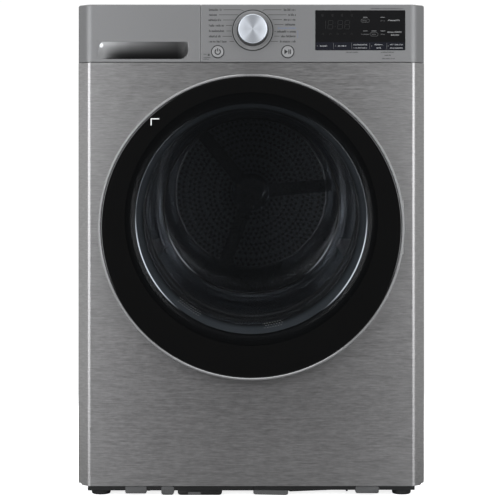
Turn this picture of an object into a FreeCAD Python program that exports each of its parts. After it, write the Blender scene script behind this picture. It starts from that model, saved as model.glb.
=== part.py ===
import FreeCAD
import Part
import Sketcher
import math
import os

# Free-standing front-loading heat-pump clothes dryer, 600 wide, 850 high, 690 deep.
# Frame: +X to the right as seen by the user, +Y towards the back, +Z up,
# origin on the floor under the middle of the bounding box.  Millimetres.

V = FreeCAD.Vector
doc = FreeCAD.newDocument("ClothesDryer")
sheet = doc.addObject("Spreadsheet::Sheet", "Dims")

DIMS = [
    # cabinet
    ("body_w", 600.0), ("body_tall", 850.0), ("skin_t", 1.2), ("front_y", -318.0), ("facet_y", -304.5),
    ("facet_x", 281.5), ("back_y", 330.0), ("panel_low_z", 17.6), ("seam_z", 749.8), ("top_t", 22.0),
    ("side_front_y", -302.0), ("rail_low_z", 13.3), ("pan_z", 22.0),
    # fascia and drawer front
    ("split_x", -87.2), ("seam_gap", 0.7), ("fascia_t", 3.2), ("top_bevel", 4.0),
    ("grip_xa", -275.0), ("grip_xb", -108.0), ("grip_za", 755.0), ("grip_zb", 785.0), ("grip_depth", 26.0),
    ("disp_xa", 111.0), ("disp_xb", 265.5), ("disp_za", 771.0), ("disp_zb", 839.0),
    ("knob_x", 2.5), ("knob_z", 805.0), ("knob_rad", 26.3), ("knob_front", -343.0), ("bezel_rad", 35.0),
    ("btn_xa", -58.0), ("btn_xb", 63.0), ("btn_z", 768.0), ("btn_rad", 10.4), ("btn_travel", 1.5),
    # door
    ("door_z", 465.0), ("door_rad", 262.5), ("door_front", -345.0), ("door_rear", -321.0),
    ("panel_hole", 230.0), ("bowl_rad", 199.0), ("bowl_z", 479.0), ("bowl_end_rad", 163.0),
    ("bowl_end_z", 503.0), ("bowl_end_y", -215.0), ("bowl_t", 4.0),
    ("hinge_x", 256.0), ("hinge_y", -334.0), ("knuckle_rad", 5.5), ("pin_rad", 3.0), ("hinge_gap", 0.5),
    # bulkhead
    ("mouth_rad", 200.0), ("mouth_z", 482.0), ("throat_rad", 186.0), ("throat_z", 497.0),
    ("collar_t", 3.0), ("ring_in", 236.0), ("ring_out", 240.0),
    # drum
    ("drum_z", 530.0), ("drum_rad", 262.0), ("drum_t", 1.2), ("drum_front", -232.0), ("drum_back", 262.0),
    ("lip_rad", 245.2), ("rear_wall_y", 255.0), ("shaft_rad", 12.0), ("hub_rad", 38.0),
    ("roller_rad", 24.0), ("roller_x", 151.8), ("roller_z", 287.1),
    # drive
    ("motor_x", 120.0), ("motor_z", 150.0), ("pulley_rad", 20.0), ("belt_y", 5.0), ("belt_w", 9.0),
    ("belt_t", 2.8), ("belt_gap", 0.3), ("fan_rad", 72.0),
    # feet
    ("foot_x", 262.0), ("foot_yf", -289.0), ("foot_yr", 296.0), ("foot_rad", 16.5), ("stem_rad", 5.0),
    # water tank
    ("tank_xa", -284.0), ("tank_xb", -150.0), ("tank_za", 762.0), ("tank_zb", 820.0), ("tank_back", 200.0),
]

for row, (alias, value) in enumerate(DIMS, start=1):
    sheet.set("A%d" % row, alias)
    sheet.set("B%d" % row, str(value))
    sheet.setAlias("B%d" % row, alias)
doc.recompute()


class Dim:
    """A length that carries its value and the spreadsheet formula it comes from."""

    def __init__(self, value, text):
        self.value, self.text = float(value), text

    def _other(self, o):
        return o if isinstance(o, Dim) else Dim(o, "%.6g" % o if o >= 0 else "(%.6g)" % o)

    def __add__(self, o):
        o = self._other(o)
        return Dim(self.value + o.value, "(%s + %s)" % (self.text, o.text))

    def __radd__(self, o):
        return self._other(o) + self

    def __sub__(self, o):
        o = self._other(o)
        return Dim(self.value - o.value, "(%s - %s)" % (self.text, o.text))

    def __rsub__(self, o):
        return self._other(o) - self

    def __mul__(self, o):
        o = self._other(o)
        return Dim(self.value * o.value, "(%s * %s)" % (self.text, o.text))

    __rmul__ = __mul__

    def __truediv__(self, o):
        o = self._other(o)
        return Dim(self.value / o.value, "(%s / %s)" % (self.text, o.text))

    def __neg__(self):
        return Dim(-self.value, "(0 - %s)" % self.text)


class Sheet:
    pass


D = Sheet()
for alias, value in DIMS:
    setattr(D, alias, Dim(sheet.get(alias), "Dims." + alias))


def num(q):
    return q.value if isinstance(q, Dim) else float(q)


def bind(obj, prop, q):
    """Set a property, and bind it to the sheet when the length comes from there."""
    if isinstance(q, Dim):
        obj.setExpression(prop, q.text)
    elif "." in prop:
        obj.setExpression(prop, "%.6g" % q if q >= 0 else "0 - %.6g" % -q)
    else:
        setattr(obj, prop, q)


count = [0]
NODES = []


def tag(prefix):
    count[0] += 1
    return "%s_%03d" % (prefix, count[0])


def node(label, obj):
    obj.Label = label
    NODES.append((label, obj))
    return obj


def place(obj, x, y, z, rot=None):
    obj.Placement = FreeCAD.Placement(V(num(x), num(y), num(z)), rot or FreeCAD.Rotation())
    bind(obj, "Placement.Base.x", x)
    bind(obj, "Placement.Base.y", y)
    bind(obj, "Placement.Base.z", z)


def box(xa, xb, ya, yb, za, zb):
    o = doc.addObject("Part::Box", tag("Box"))
    bind(o, "Length", xb - xa)
    bind(o, "Width", yb - ya)
    bind(o, "Height", zb - za)
    place(o, xa, ya, za)
    return o


ROT = {
    "x": FreeCAD.Rotation(V(0, 1, 0), 90),
    "y": FreeCAD.Rotation(V(1, 0, 0), -90),
    "z": FreeCAD.Rotation(),
}


def cyl(axis, rad, x, y, z, length):
    """Cylinder along +axis that starts at x, y, z."""
    o = doc.addObject("Part::Cylinder", tag("Cylinder"))
    bind(o, "Radius", rad)
    bind(o, "Height", length)
    place(o, x, y, z, ROT[axis])
    return o


def cone(axis, rad_a, rad_b, x, y, z, length):
    o = doc.addObject("Part::Cone", tag("Cone"))
    bind(o, "Radius1", rad_a)
    bind(o, "Radius2", rad_b)
    bind(o, "Height", length)
    place(o, x, y, z, ROT[axis])
    return o


def ring(axis, r_out, r_in, x, y, z, length):
    """Flat ring or tube along +axis."""
    over = 1.0
    shift = {"x": (over, 0, 0), "y": (0, over, 0), "z": (0, 0, over)}[axis]
    inner = cyl(axis, r_in, x - shift[0], y - shift[1], z - shift[2], length + 2 * over)
    return cut(cyl(axis, r_out, x, y, z, length), inner)


def fuse(*parts):
    if len(parts) == 1:
        return parts[0]
    o = doc.addObject("Part::MultiFuse", tag("Fuse"))
    o.Shapes = list(parts)
    return o


def cut(base, *tools):
    o = doc.addObject("Part::Cut", tag("Cut"))
    o.Base = base
    o.Tool = fuse(*tools)
    return o


def common(a, b):
    o = doc.addObject("Part::Common", tag("Common"))
    o.Base = a
    o.Tool = b
    return o


def group(*parts):
    o = doc.addObject("Part::Compound", tag("Group"))
    o.Links = list(parts)
    return o


def turned(obj, axis_point, degrees, axis=V(0, 1, 0)):
    """Rotate a finished piece about a line through axis_point."""
    p = obj.Placement
    r = FreeCAD.Placement(V(0, 0, 0), FreeCAD.Rotation(axis, degrees), axis_point)
    for path, _ in list(obj.ExpressionEngine):
        if path.lstrip(".").startswith("Placement"):
            obj.setExpression(path.lstrip("."), None)
    obj.Placement = r.multiply(p)
    return obj


class Solid:
    """A PartDesign body made from sketches on its own origin planes."""

    def __init__(self):
        self.body = doc.addObject("PartDesign::Body", tag("Body"))
        self.planes = {f.Role: f for f in self.body.Origin.OriginFeatures}

    def sketch(self, plane, offset, loops):
        """loops: lists of (x, y) corners, or ("circle", x, y, radius)."""
        s = self.body.newObject("Sketcher::SketchObject", tag("Sketch"))
        s.AttachmentSupport = [(self.planes[plane + "_Plane"], "")]
        s.MapMode = "FlatFace"
        bind(s, "AttachmentOffset.Base.z", offset)
        for loop in loops:
            if loop[0] == "circle":
                _, x, y, r = loop
                g = s.addGeometry(Part.Circle(V(num(x), num(y), 0), V(0, 0, 1), num(r)), False)
                self.fix(s, "Radius", (g,), r)
                self.fix(s, "DistanceX", (-1, 1, g, 3), x)
                self.fix(s, "DistanceY", (-1, 1, g, 3), y)
                continue
            pts = [V(num(x), num(y), 0) for x, y in loop]
            n = len(pts)
            first = s.GeometryCount
            for i in range(n):
                s.addGeometry(Part.LineSegment(pts[i], pts[(i + 1) % n]), False)
            for i in range(n):
                s.addConstraint(Sketcher.Constraint("Coincident", first + i, 2, first + (i + 1) % n, 1))
            for i, (x, y) in enumerate(loop):
                self.fix(s, "DistanceX", (-1, 1, first + i, 1), x)
                self.fix(s, "DistanceY", (-1, 1, first + i, 1), y)
        return s

    @staticmethod
    def fix(s, kind, refs, q):
        c = s.addConstraint(Sketcher.Constraint(kind, *refs, num(q)))
        if isinstance(q, Dim):
            s.setExpression("Constraints[%d]" % c, q.text)

    def pad(self, sketch, length, reverse=False):
        f = self.body.newObject("PartDesign::Pad", tag("Pad"))
        f.Profile = sketch
        f.Type = 0
        bind(f, "Length", length)
        f.Reversed = reverse
        doc.recompute()
        return f

    def pocket(self, sketch, length, reverse=False):
        before = self.body.Tip.Shape.Volume
        f = self.body.newObject("PartDesign::Pocket", tag("Pocket"))
        f.Profile = sketch
        f.Type = 0
        bind(f, "Length", length)
        f.Reversed = reverse
        doc.recompute()
        if not f.Shape.Volume < before - 0.01:
            raise RuntimeError("pocket %s removes nothing" % f.Name)
        return f

    def turn(self, sketch, axis="V_Axis", groove=False):
        f = self.body.newObject("PartDesign::Groove" if groove else "PartDesign::Revolution", tag("Turn"))
        f.Profile = sketch
        f.ReferenceAxis = (sketch, [axis])
        f.Angle = 360
        doc.recompute()
        return f

    def loft(self, sketches, cutting=False, ruled=False):
        f = self.body.newObject("PartDesign::SubtractiveLoft" if cutting else "PartDesign::AdditiveLoft", tag("Loft"))
        f.Profile = sketches[0]
        f.Sections = sketches[1:]
        f.Ruled = ruled
        doc.recompute()
        return f

    def round_edges(self, rad, test):
        shape = self.body.Tip.Shape
        names = ["Edge%d" % (i + 1) for i, e in enumerate(shape.Edges) if test(e)]
        if not names:
            raise RuntimeError("no edge to round")
        tip = self.body.Tip
        f = self.body.newObject("PartDesign::Fillet", tag("Fillet"))
        f.Base = (tip, names)
        bind(f, "Radius", rad)
        doc.recompute()
        return f

    def bevel_edges(self, size, test):
        shape = self.body.Tip.Shape
        names = ["Edge%d" % (i + 1) for i, e in enumerate(shape.Edges) if test(e)]
        if not names:
            raise RuntimeError("no edge to bevel")
        tip = self.body.Tip
        f = self.body.newObject("PartDesign::Chamfer", tag("Chamfer"))
        f.Base = (tip, names)
        bind(f, "Size", size)
        doc.recompute()
        return f


def along(e, axis):
    """True for a straight edge parallel to the axis."""
    if e.Curve.TypeId != "Part::GeomLine":
        return False
    d = e.Curve.Direction
    return abs(abs(getattr(d, axis)) - 1) < 1e-6


def at(e, **where):
    c = e.CenterOfMass
    return all(abs(getattr(c, k) - num(v)) < 0.05 for k, v in where.items())


half_w = D.body_w / 2
fy, by = D.front_y, D.back_y

# ------------------------------------------------------------------ cabinet skin
# Side panels: folded sheet, a web with a flange turned in at the front and at the back.
for side, label in ((1, "right_side_panel"), (-1, "left_side_panel")):
    o = Solid()
    t = D.skin_t
    prof = [(half_w, D.side_front_y), (half_w, by), (half_w - 16, by), (half_w - 16, by - t), (half_w - t, by - t),
            (half_w - t, D.side_front_y + t), (half_w - 14, D.side_front_y + t), (half_w - 14, D.side_front_y)]
    if side < 0:
        prof = [(-x, y) for x, y in prof]
    o.pad(o.sketch("XY", D.pan_z - 2, [prof]), D.body_tall - D.top_t - 2 - D.pan_z + 2)
    node(label, o.body)

# Front panel: brushed sheet, flat face with a rounded bend and a facet that falls back to each side.
o = Solid()
t = D.skin_t
outer = [(-half_w, D.facet_y + 1.3), (-half_w, D.facet_y), (-D.facet_x, fy), (D.facet_x, fy), (half_w, D.facet_y),
         (half_w, D.facet_y + 1.3), (half_w - 1.8, D.facet_y + 1.3), (D.facet_x - 0.4, fy + t), (-D.facet_x + 0.4, fy + t),
         (-half_w + 1.8, D.facet_y + 1.3)]
o.pad(o.sketch("XY", D.panel_low_z, [outer]), D.seam_z - D.seam_gap - D.panel_low_z)
o.round_edges(11.0, lambda e: along(e, "z") and abs(abs(e.CenterOfMass.x) - 281.5) < 0.05 and e.CenterOfMass.y < -317.9)
o.round_edges(9.8, lambda e: along(e, "z") and abs(abs(e.CenterOfMass.x) - 281.1) < 0.05 and e.CenterOfMass.y > -317.0)
# door opening and the slot for the latch hook
hole = o.sketch("XZ", -(fy + 20), [("circle", 0.0, D.door_z, D.panel_hole)])
o.pocket(hole, 40.0, True)
slot = o.sketch("XZ", -(fy + 20), [[(-251.0, D.door_z - 13), (-233.0, D.door_z - 13), (-233.0, D.door_z + 13), (-251.0, D.door_z + 13)]])
o.pocket(slot, 40.0, True)
# lower corners cut at a slant
for sx in (1, -1):
    c = o.sketch("XZ", -(fy + 20), [[(sx * (half_w + 2), D.panel_low_z - 1), (sx * (half_w + 2), 25.0), (sx * 300.0, 24.5), (sx * 292.5, D.panel_low_z), (sx * 292.5, D.panel_low_z - 1)]])
    o.pocket(c, 40.0, True)
node("front_panel", o.body)

# Lower cross rail that closes the bottom of the front.
rail = fuse(box(-283.0 , 283.0, fy + 2, fy + 28, D.rail_low_z, D.panel_low_z - 0.3),
            box(-276.0 , 276.0, fy + 2.4, fy + 4.4, D.rail_low_z, 60.0),
            box(-276.0 , 276.0, fy + 18, fy + 28, D.rail_low_z, D.pan_z))
rail = cut(rail, box(-half_w, -236.0, fy + 12, fy + 50, 0.0, D.pan_z + 1), box(236.0, half_w, fy + 12, fy + 50, 0.0, D.pan_z + 1))
# Skid blocks under the rail; the middle one tapers upwards to the right.
o = Solid()
o.pad(o.sketch("XZ", -(fy + 50), [[(3.0, 1.6), (67.0, 1.6), (150.0, 10.5), (150.0, D.rail_low_z + 1), (3.0, D.rail_low_z + 1)]]), 44.0)
skids = [o.body]
for xa, xb, ya, yb, za in ((-219.0, -181.5, 6, 70, 4.0), (-157.0, -134.5, 6, 60, 1.6), (181.0, 222.0, 6, 70, 4.0)):
    skids.append(box(xa, xb, fy + ya, fy + yb, za, D.rail_low_z + 1))
    skids.append(box(xa, xb, fy + 22, fy + yb, za + 2, D.pan_z))
skids.append(box(3.0, 150.0, fy + 22, fy + 50, 11.0, D.pan_z))
# cover over the pump well, the largest block
skids.append(box(-128.0, -51.0, fy + 5, fy + 90, 1.6, D.rail_low_z + 1))
skids.append(box(-128.0, -51.0, fy + 22, fy + 90, 3.0, D.pan_z))
node("base_skirt", fuse(rail, *skids))

# Base pan: moulded tray that carries the heat pump, with a well over each foot.
pan = cut(box(-half_w + 8, half_w - 8, fy + 19.5, by - 4, D.pan_z, 72.0),
          box(-half_w + 11, half_w - 11, fy + 22.5, by - 7, D.pan_z + 4, 80.0))
wells = []
for sx in (1, -1):
    for y in (D.foot_yf, D.foot_yr):
        wells.append(cyl("z", D.stem_rad + 1.2, sx * D.foot_x, y, D.pan_z - 5, 60.0))
# Threaded boss under each corner, and the cradle the motor lies in.
sockets = []
for sx in (1, -1):
    for y in (D.foot_yf, D.foot_yr):
        sockets.append(ring("z", 12.5, D.stem_rad + 0.08, sx * D.foot_x, y, D.pan_z - 9.5, 9.6))
cradle = cut(box(D.motor_x - 50, D.motor_x + 50, -130.0, -50.0, D.pan_z + 3, D.motor_z), cyl("y", 58.05, D.motor_x, -160.0, D.motor_z, 200.0))
node("base_pan", fuse(cut(pan, *wells), cradle, *sockets))

# Top panel: worktop board with rounded edges.
o = Solid()
o.pad(o.sketch("XY", D.body_tall - D.top_t, [[(-half_w, D.side_front_y + 2), (half_w, D.side_front_y + 2), (half_w, by), (-half_w, by)]]), D.top_t)
o.round_edges(6.0, lambda e: along(e, "z"))
o.round_edges(3.0, lambda e: abs(e.CenterOfMass.z - 850.0) < 0.05 and e.CenterOfMass.y > -299.0)
node("top_panel", o.body)

# Rear panel: flat sheet with the air-duct opening and the hose and cable holes.
rp = box(-half_w + 16.5, half_w - 16.5, by - t, by, 74.0, D.body_tall - D.top_t - 1)
holes = [cyl("y", 215.0, 0.0, by - 5, D.drum_z, 10.0), cyl("y", 13.0, -220.0, by - 5, 120.0, 10.0),
         cyl("y", 12.6, 225.0, by - 5, 780.0, 10.0)]
for i in range(7):
    holes.append(box(110.0, 230.0, by - 5, by + 5, 110.0 + 14 * i, 115.0 + 14 * i))
node("rear_panel", cut(rp, *holes))

# Rear duct cover: pressed dish over the air path to the perforated drum back.
o = Solid()
prof = [(0.0, -(by + 15)), (222.0, -(by + 15)), (226.0, -(by + 11)), (226.0, -(by + 1.2)), (240.0, -(by + 1.2)), (240.0, -by),
        (224.8, -by), (224.8, -(by + 10.5)), (221.5, -(by + 13.8)), (0.0, -(by + 13.8))]
s = o.sketch("XY", 0.0, [[(x, -y if isinstance(y, Dim) else -y) for x, y in prof]])
o.turn(s)
place(o.body, 0.0, 0.0, D.drum_z)
node("rear_duct_cover", o.body)

# Rear panel screws, eight solids.
scr = []
for x, z in ((-270, 90), (270, 90), (-270, 300), (270, 300), (-270, 560), (270, 560), (-270, 810), (270, 810)):
    scr.append(cyl("y", 4.2, float(x), by, float(z), 2.0))
node("rear_panel_screws", group(*scr))

# ------------------------------------------------------------------ control fascia and drawer front
zl = D.seam_z


def fascia_profile(xa, sign):
    """Plan section of the fascia: flat face, bend, facet.  xa is the inner end."""
    ft = D.fascia_t
    pts = [(xa, fy), (sign * D.facet_x, fy), (sign * half_w, D.facet_y), (sign * half_w, D.facet_y + 1.9),
           (sign * (half_w - 4.0), D.facet_y + 1.9), (sign * (D.facet_x - 1.2), fy + ft), (xa, fy + ft)]
    return pts


fas = Solid()
fas.pad(fas.sketch("XY", zl, [fascia_profile(D.split_x + D.seam_gap / 2, 1)]), D.body_tall - zl)
fas.round_edges(11.0, lambda e: along(e, "z") and abs(e.CenterOfMass.x - 281.5) < 0.05 and e.CenterOfMass.y < -317.9)
fas.bevel_edges(D.top_bevel * 0.55, lambda e: abs(e.CenterOfMass.z - 850.0) < 0.05 and (e.CenterOfMass.y < -317.9 or (e.CenterOfMass.x > 281 and e.CenterOfMass.y < -309 and e.CenterOfMass.x < 292 and abs(e.CenterOfMass.y + 311.3) < 1.5 or abs(e.CenterOfMass.x - 281) < 4 and e.CenterOfMass.y < -316.5)))
fas.pocket(fas.sketch("XZ", -(fy - 5), [[(D.disp_xa - 0.4, D.disp_za - 0.4), (D.disp_xb + 0.4, D.disp_za - 0.4), (D.disp_xb + 0.4, D.disp_zb + 0.4), (D.disp_xa - 0.4, D.disp_zb + 0.4)]]), 6.4)
fas.pocket(fas.sketch("XZ", -(fy - 5), [("circle", D.knob_x, D.knob_z, 6.0)]), 20.0)
fas.pocket(fas.sketch("XZ", -(fy - 5), [("circle", D.btn_xa, D.btn_z, D.btn_rad + 0.35), ("circle", D.btn_xb, D.btn_z, D.btn_rad + 0.35)]), 20.0)
shelf = box(D.split_x + D.seam_gap / 2, half_w - 8, fy + D.fascia_t, fy + 17.5, D.body_tall - 4.0, D.body_tall)
foot_lip = box(D.split_x + D.seam_gap / 2, half_w - 20, fy + D.fascia_t, fy + 14.0, zl, zl + 3.0)
node("control_fascia", fuse(fas.body, shelf, foot_lip))

node("display_glass", box(D.disp_xa, D.disp_xb, fy - 0.4, fy + 1.35, D.disp_za, D.disp_zb))

# Trim rings let into the fascia: one round the knob, one round each button.
node("control_trim_rings", group(ring("y", D.bezel_rad, D.knob_rad + 0.9, D.knob_x, fy - 3.2, D.knob_z, 3.2),
                                 ring("y", D.btn_rad + 2.2, D.btn_rad + 0.4, D.btn_xa, fy - 1.2, D.btn_z, 1.2),
                                 ring("y", D.btn_rad + 2.2, D.btn_rad + 0.4, D.btn_xb, fy - 1.2, D.btn_z, 1.2)))
node("power_button", cyl("y", D.btn_rad, D.btn_xa, fy - 1.0, D.btn_z, 9.0))
node("start_button", cyl("y", D.btn_rad, D.btn_xb, fy - 1.0, D.btn_z, 9.0))

# Knob: turned cap with a waist at the back, on a shaft that reaches the encoder.
o = Solid()
kr = D.knob_rad
prof = [(0.0, D.knob_front), (kr - 3.2, D.knob_front + 0.6), (kr - 1.0, D.knob_front + 2.2), (kr, D.knob_front + 5.5), (kr, fy - 4.5),
        (kr - 1.5, fy - 0.6), (kr - 5.0, fy - 0.6), (kr - 5.0, fy - 4.0), (0.0, fy - 4.0)]
o.turn(o.sketch("XY", 0.0, [prof]))
place(o.body, D.knob_x, 0.0, D.knob_z)
node("programme_knob", fuse(o.body, cyl("y", 3.0, D.knob_x, fy - 5.0, D.knob_z, 18.6)))

# Electronics behind the fascia.
pcb = cut(box(-70.0 , 270.0, fy + 14.0, fy + 15.6, 758.0, 842.0), cyl("y", 4.0, D.knob_x, fy + 10, D.knob_z, 10.0))
node("control_board", fuse(pcb, ring("y", 8.0, 3.08, D.knob_x, fy + 8.0, D.knob_z, 6.0),
                          box(D.btn_xa - 6, D.btn_xa + 6, fy + 10.0, fy + 14.0, D.btn_z - 6, D.btn_z + 6),
                          box(D.btn_xb - 6, D.btn_xb + 6, fy + 10.0, fy + 14.0, D.btn_z - 6, D.btn_z + 6)))

# Drawer front with the finger grip: a hollow behind the face, open upwards behind the lip.
dr = Solid()
dr.pad(dr.sketch("XY", zl, [fascia_profile(D.split_x - D.seam_gap / 2, -1)]), D.body_tall - zl)
dr.round_edges(11.0, lambda e: along(e, "z") and abs(e.CenterOfMass.x + 281.5) < 0.05 and e.CenterOfMass.y < -317.9)
dr.bevel_edges(D.top_bevel * 0.55, lambda e: abs(e.CenterOfMass.z - 850.0) < 0.05 and (e.CenterOfMass.y < -317.9 or (e.CenterOfMass.x < -281 and e.CenterOfMass.x > -292 and abs(e.CenterOfMass.y + 311.3) < 1.5 or abs(e.CenterOfMass.x + 281) < 4 and e.CenterOfMass.y < -316.5)))
back = box(D.grip_xa - 4, D.grip_xb + 4, fy + D.fascia_t - 0.5, fy + D.grip_depth + 3, D.grip_za - 4, D.grip_zb + 9)
link = box(D.tank_xa + 10, D.tank_xb - 10, fy + D.grip_depth + 2, fy + 30, D.tank_za + 6, D.tank_za + 24)
shell = fuse(dr.body, back, link, box(-half_w + 8, D.split_x - D.seam_gap / 2, fy + D.fascia_t, fy + 17.5, D.body_tall - 4.0, D.body_tall))
cav = Solid()
ga, gb = D.grip_xa, D.grip_xb
cav.pad(cav.sketch("XZ", -(fy - 3), [[(ga, D.grip_zb), (ga + 3, D.grip_zb - 8), (ga + 14, D.grip_za + 5), (ga + 24, D.grip_za), (gb - 12, D.grip_za),
                                      (gb - 4, D.grip_za + 4), (gb, D.grip_za + 12), (gb, D.grip_zb)]]), D.grip_depth + 3, True)
under = box(ga, gb, fy + D.fascia_t + 3, fy + D.grip_depth, D.grip_zb - 2, D.grip_zb + 6)
node("tank_front", cut(shell, cav.body, under))

# ------------------------------------------------------------------ condensate tank drawer
ta, tb, tz, th = D.tank_xa, D.tank_xb, D.tank_za, D.tank_zb
o = Solid()
o.pad(o.sketch("XY", tz, [[(ta, fy + 30), (tb, fy + 30), (tb, D.tank_back), (ta, D.tank_back)]]), th - tz - 4)
o.round_edges(10.0, lambda e: along(e, "z"))
inn = Solid()
inn.pad(inn.sketch("XY", tz + 2.5, [[(ta + 2.5, fy + 32.5), (tb - 2.5, fy + 32.5), (tb - 2.5, D.tank_back - 2.5), (ta + 2.5, D.tank_back - 2.5)]]), 80.0)
inn.round_edges(8.0, lambda e: along(e, "z"))
node("tank_body", cut(o.body, inn.body))
o = Solid()
o.pad(o.sketch("XY", th - 4, [[(ta, fy + 30), (tb, fy + 30), (tb, D.tank_back), (ta, D.tank_back)], ("circle", (ta + tb) / 2, D.tank_back - 60, 16.0)]), 3.0)
o.round_edges(10.0, lambda e: along(e, "z") and abs(e.Length - 3.0) < 0.1 and not (abs(e.CenterOfMass.x + 219) < 20))
node("tank_lid", fuse(o.body, cyl("z", 15.8, (ta + tb) / 2, D.tank_back - 60, th - 6.5, 5.5), cyl("z", 19.0, (ta + tb) / 2, D.tank_back - 60, th - 1.0, 1.6)))
# shelf the tank slides on: floor, two low walls and a back stop
tray = fuse(box(ta - 4, tb + 2, fy + 19.0, D.tank_back + 14, tz - 5, tz - 0.4), box(ta - 4, ta - 2, fy + 19.0, D.tank_back + 14, tz - 5, tz + 18),
            box(tb + 1.0, tb + 3.0, fy + 19.0, D.tank_back + 14, tz - 5, tz + 18), box(ta - 4, tb + 2, D.tank_back + 12, D.tank_back + 14, tz - 5, tz + 18))
node("tank_shelf", cut(tray, box(ta - 10, ta + 190, fy + 10, fy + 32.0, tz - 20, tz + 30)))

# ------------------------------------------------------------------ front bulkhead and air seal
# Conical collar from the door opening to the drum mouth, a front plate and a drum spigot.
bk = Solid()
a1 = bk.sketch("XZ", 305.0, [("circle", 0.0, D.mouth_z, D.mouth_rad + D.collar_t)])
a2 = bk.sketch("XZ", 237.0, [("circle", 0.0, D.throat_z, D.throat_rad + D.collar_t)])
bk.loft([a1, a2])
collar_hole = Solid()
b1 = collar_hole.sketch("XZ", 305.0 + 6.8, [("circle", 0.0, D.mouth_z - 1.5, D.mouth_rad + 1.4)])
b2 = collar_hole.sketch("XZ", 237.0 - 20.4, [("circle", 0.0, D.throat_z + 4.5, D.throat_rad - 4.2)])
collar_hole.loft([b1, b2])
front_plate = cut(box(-half_w + 17, half_w - 17, -300.0, -297.0, 300.0 - 60, D.seam_z - 4), cyl("y", 196.0, 0.0, -310.0, D.mouth_z, 20.0))
mid_plate = cut(cyl("y", D.ring_out, 0.0, -250.0, D.drum_z, 3.0), cyl("y", D.throat_rad + 0.5, 0.0, -260.0, D.throat_z - 2, 20.0))
spigot = ring("y", D.ring_out, D.ring_in, 0.0, -250.0, D.drum_z, 28.0)
blk = fuse(front_plate, bk.body, mid_plate, spigot)
# flat seat in front that the door seal closes against
seat = cut(cyl("y", D.panel_hole - 1.5, 0.0, -311.0, D.door_z, 6.6), cyl("y", D.mouth_rad + 0.8, 0.0, -320.0, D.mouth_z, 30.0))
node("front_bulkhead", cut(fuse(blk, seat), collar_hole.body, box(-96.0 , 96.0, -290.0, -258.0, 250.0, 330.0), box(-261.0, -228.0, -302.0, -296.5, D.door_z - 21, D.door_z + 21)))
node("drum_front_felt", ring("y", D.ring_out + 4.6, D.ring_out, 0.0, -230.5, D.drum_z, 8.0))

# Rear bearing carrier: a cross of two channels with the shaft bearing in the middle.
carrier = fuse(box(-238.0 , 238.0, by - 13, by - t, D.drum_z - 16, D.drum_z + 16),
               box(-16.0 , 16.0, by - 13, by - t, D.drum_z - 238, D.drum_z + 238),
               cyl("y", 30.0, 0.0, by - 36, D.drum_z, 34.8))
node("rear_bearing_carrier", group(cut(carrier, cyl("y", 20.0, 0.0, by - 40, D.drum_z, 34.0)), ring("y", 20.0, D.shaft_rad + 0.05, 0.0, by - 34, D.drum_z, 22.0)))

# ------------------------------------------------------------------ drum
o = Solid()
dr_, dt = D.drum_rad, D.drum_t
prof = [(D.lip_rad, D.drum_front), (dr_ - 3, D.drum_front), (dr_, D.drum_front + 3), (dr_, D.drum_back), (dr_ - dt, D.drum_back),
        (dr_ - dt, D.drum_front + 3.5), (dr_ - 3.5, D.drum_front + dt), (D.lip_rad, D.drum_front + dt)]
o.turn(o.sketch("XY", 0.0, [prof]))
place(o.body, 0.0, 0.0, D.drum_z)
node("drum_shell", o.body)

# Rear wall: perforated disc, three rings of holes, with a raised hub field.
o = Solid()
o.pad(o.sketch("XZ", -(D.rear_wall_y + 2), [("circle", 0.0, 0.0, dr_ - dt)]), 2.0)
for rr, n in ((70.0, 18), (105.0, 27), (140.0, 36)):
    sk = o.sketch("XZ", -(D.rear_wall_y + 6), [("circle", rr, 0.0, 6.0)])
    pk = o.pocket(sk, 12.0, True)
    pp = o.body.newObject("PartDesign::PolarPattern", tag("Pattern"))
    pp.Originals = [pk]
    pp.Axis = (sk, ["N_Axis"])
    pp.Angle = 360
    pp.Occurrences = n
    o.body.Tip = pp
    doc.recompute()
place(o.body, 0.0, 0.0, D.drum_z)
node("drum_rear_wall", o.body)

# Hub with three arms in front of the rear wall.
arms = [cyl("y", D.hub_rad, 0.0, D.rear_wall_y - 10, D.drum_z, 10.0)]
for ang in (5.0, 130.0, 250.0):
    b = box(20.0, 168.0, num(D.rear_wall_y) - 6.0, num(D.rear_wall_y), num(D.drum_z) - 13.0, num(D.drum_z) + 13.0)
    arms.append(turned(b, V(0, 0, num(D.drum_z)), -ang))
node("drum_hub", fuse(*arms))
node("drum_shaft", fuse(cyl("y", D.shaft_rad, 0.0, D.rear_wall_y + 2, D.drum_z, 64.0), cyl("y", 34.0, 0.0, D.rear_wall_y + 2, D.drum_z, 6.0)))

# Lifters: three hollow paddles inside the shell.
pads = []
for ang in (90.0, 210.0, 330.0):
    sol = Solid()
    rb = dr_ - dt - 0.9
    sol.pad(sol.sketch("XZ", 205.0, [[(-34.0, rb - 1.35), (-26.0, rb - 12), (-11.0, rb - 48), (-5.0, rb - 53), (5.0, rb - 53), (11.0, rb - 48), (26.0, rb - 12), (34.0, rb - 1.35)]]), 430.0, True)
    place(sol.body, 0.0, 0.0, D.drum_z)
    pads.append(turned(sol.body, V(0, 0, num(D.drum_z)), ang - 90.0))
node("drum_lifters", group(*pads))

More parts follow.
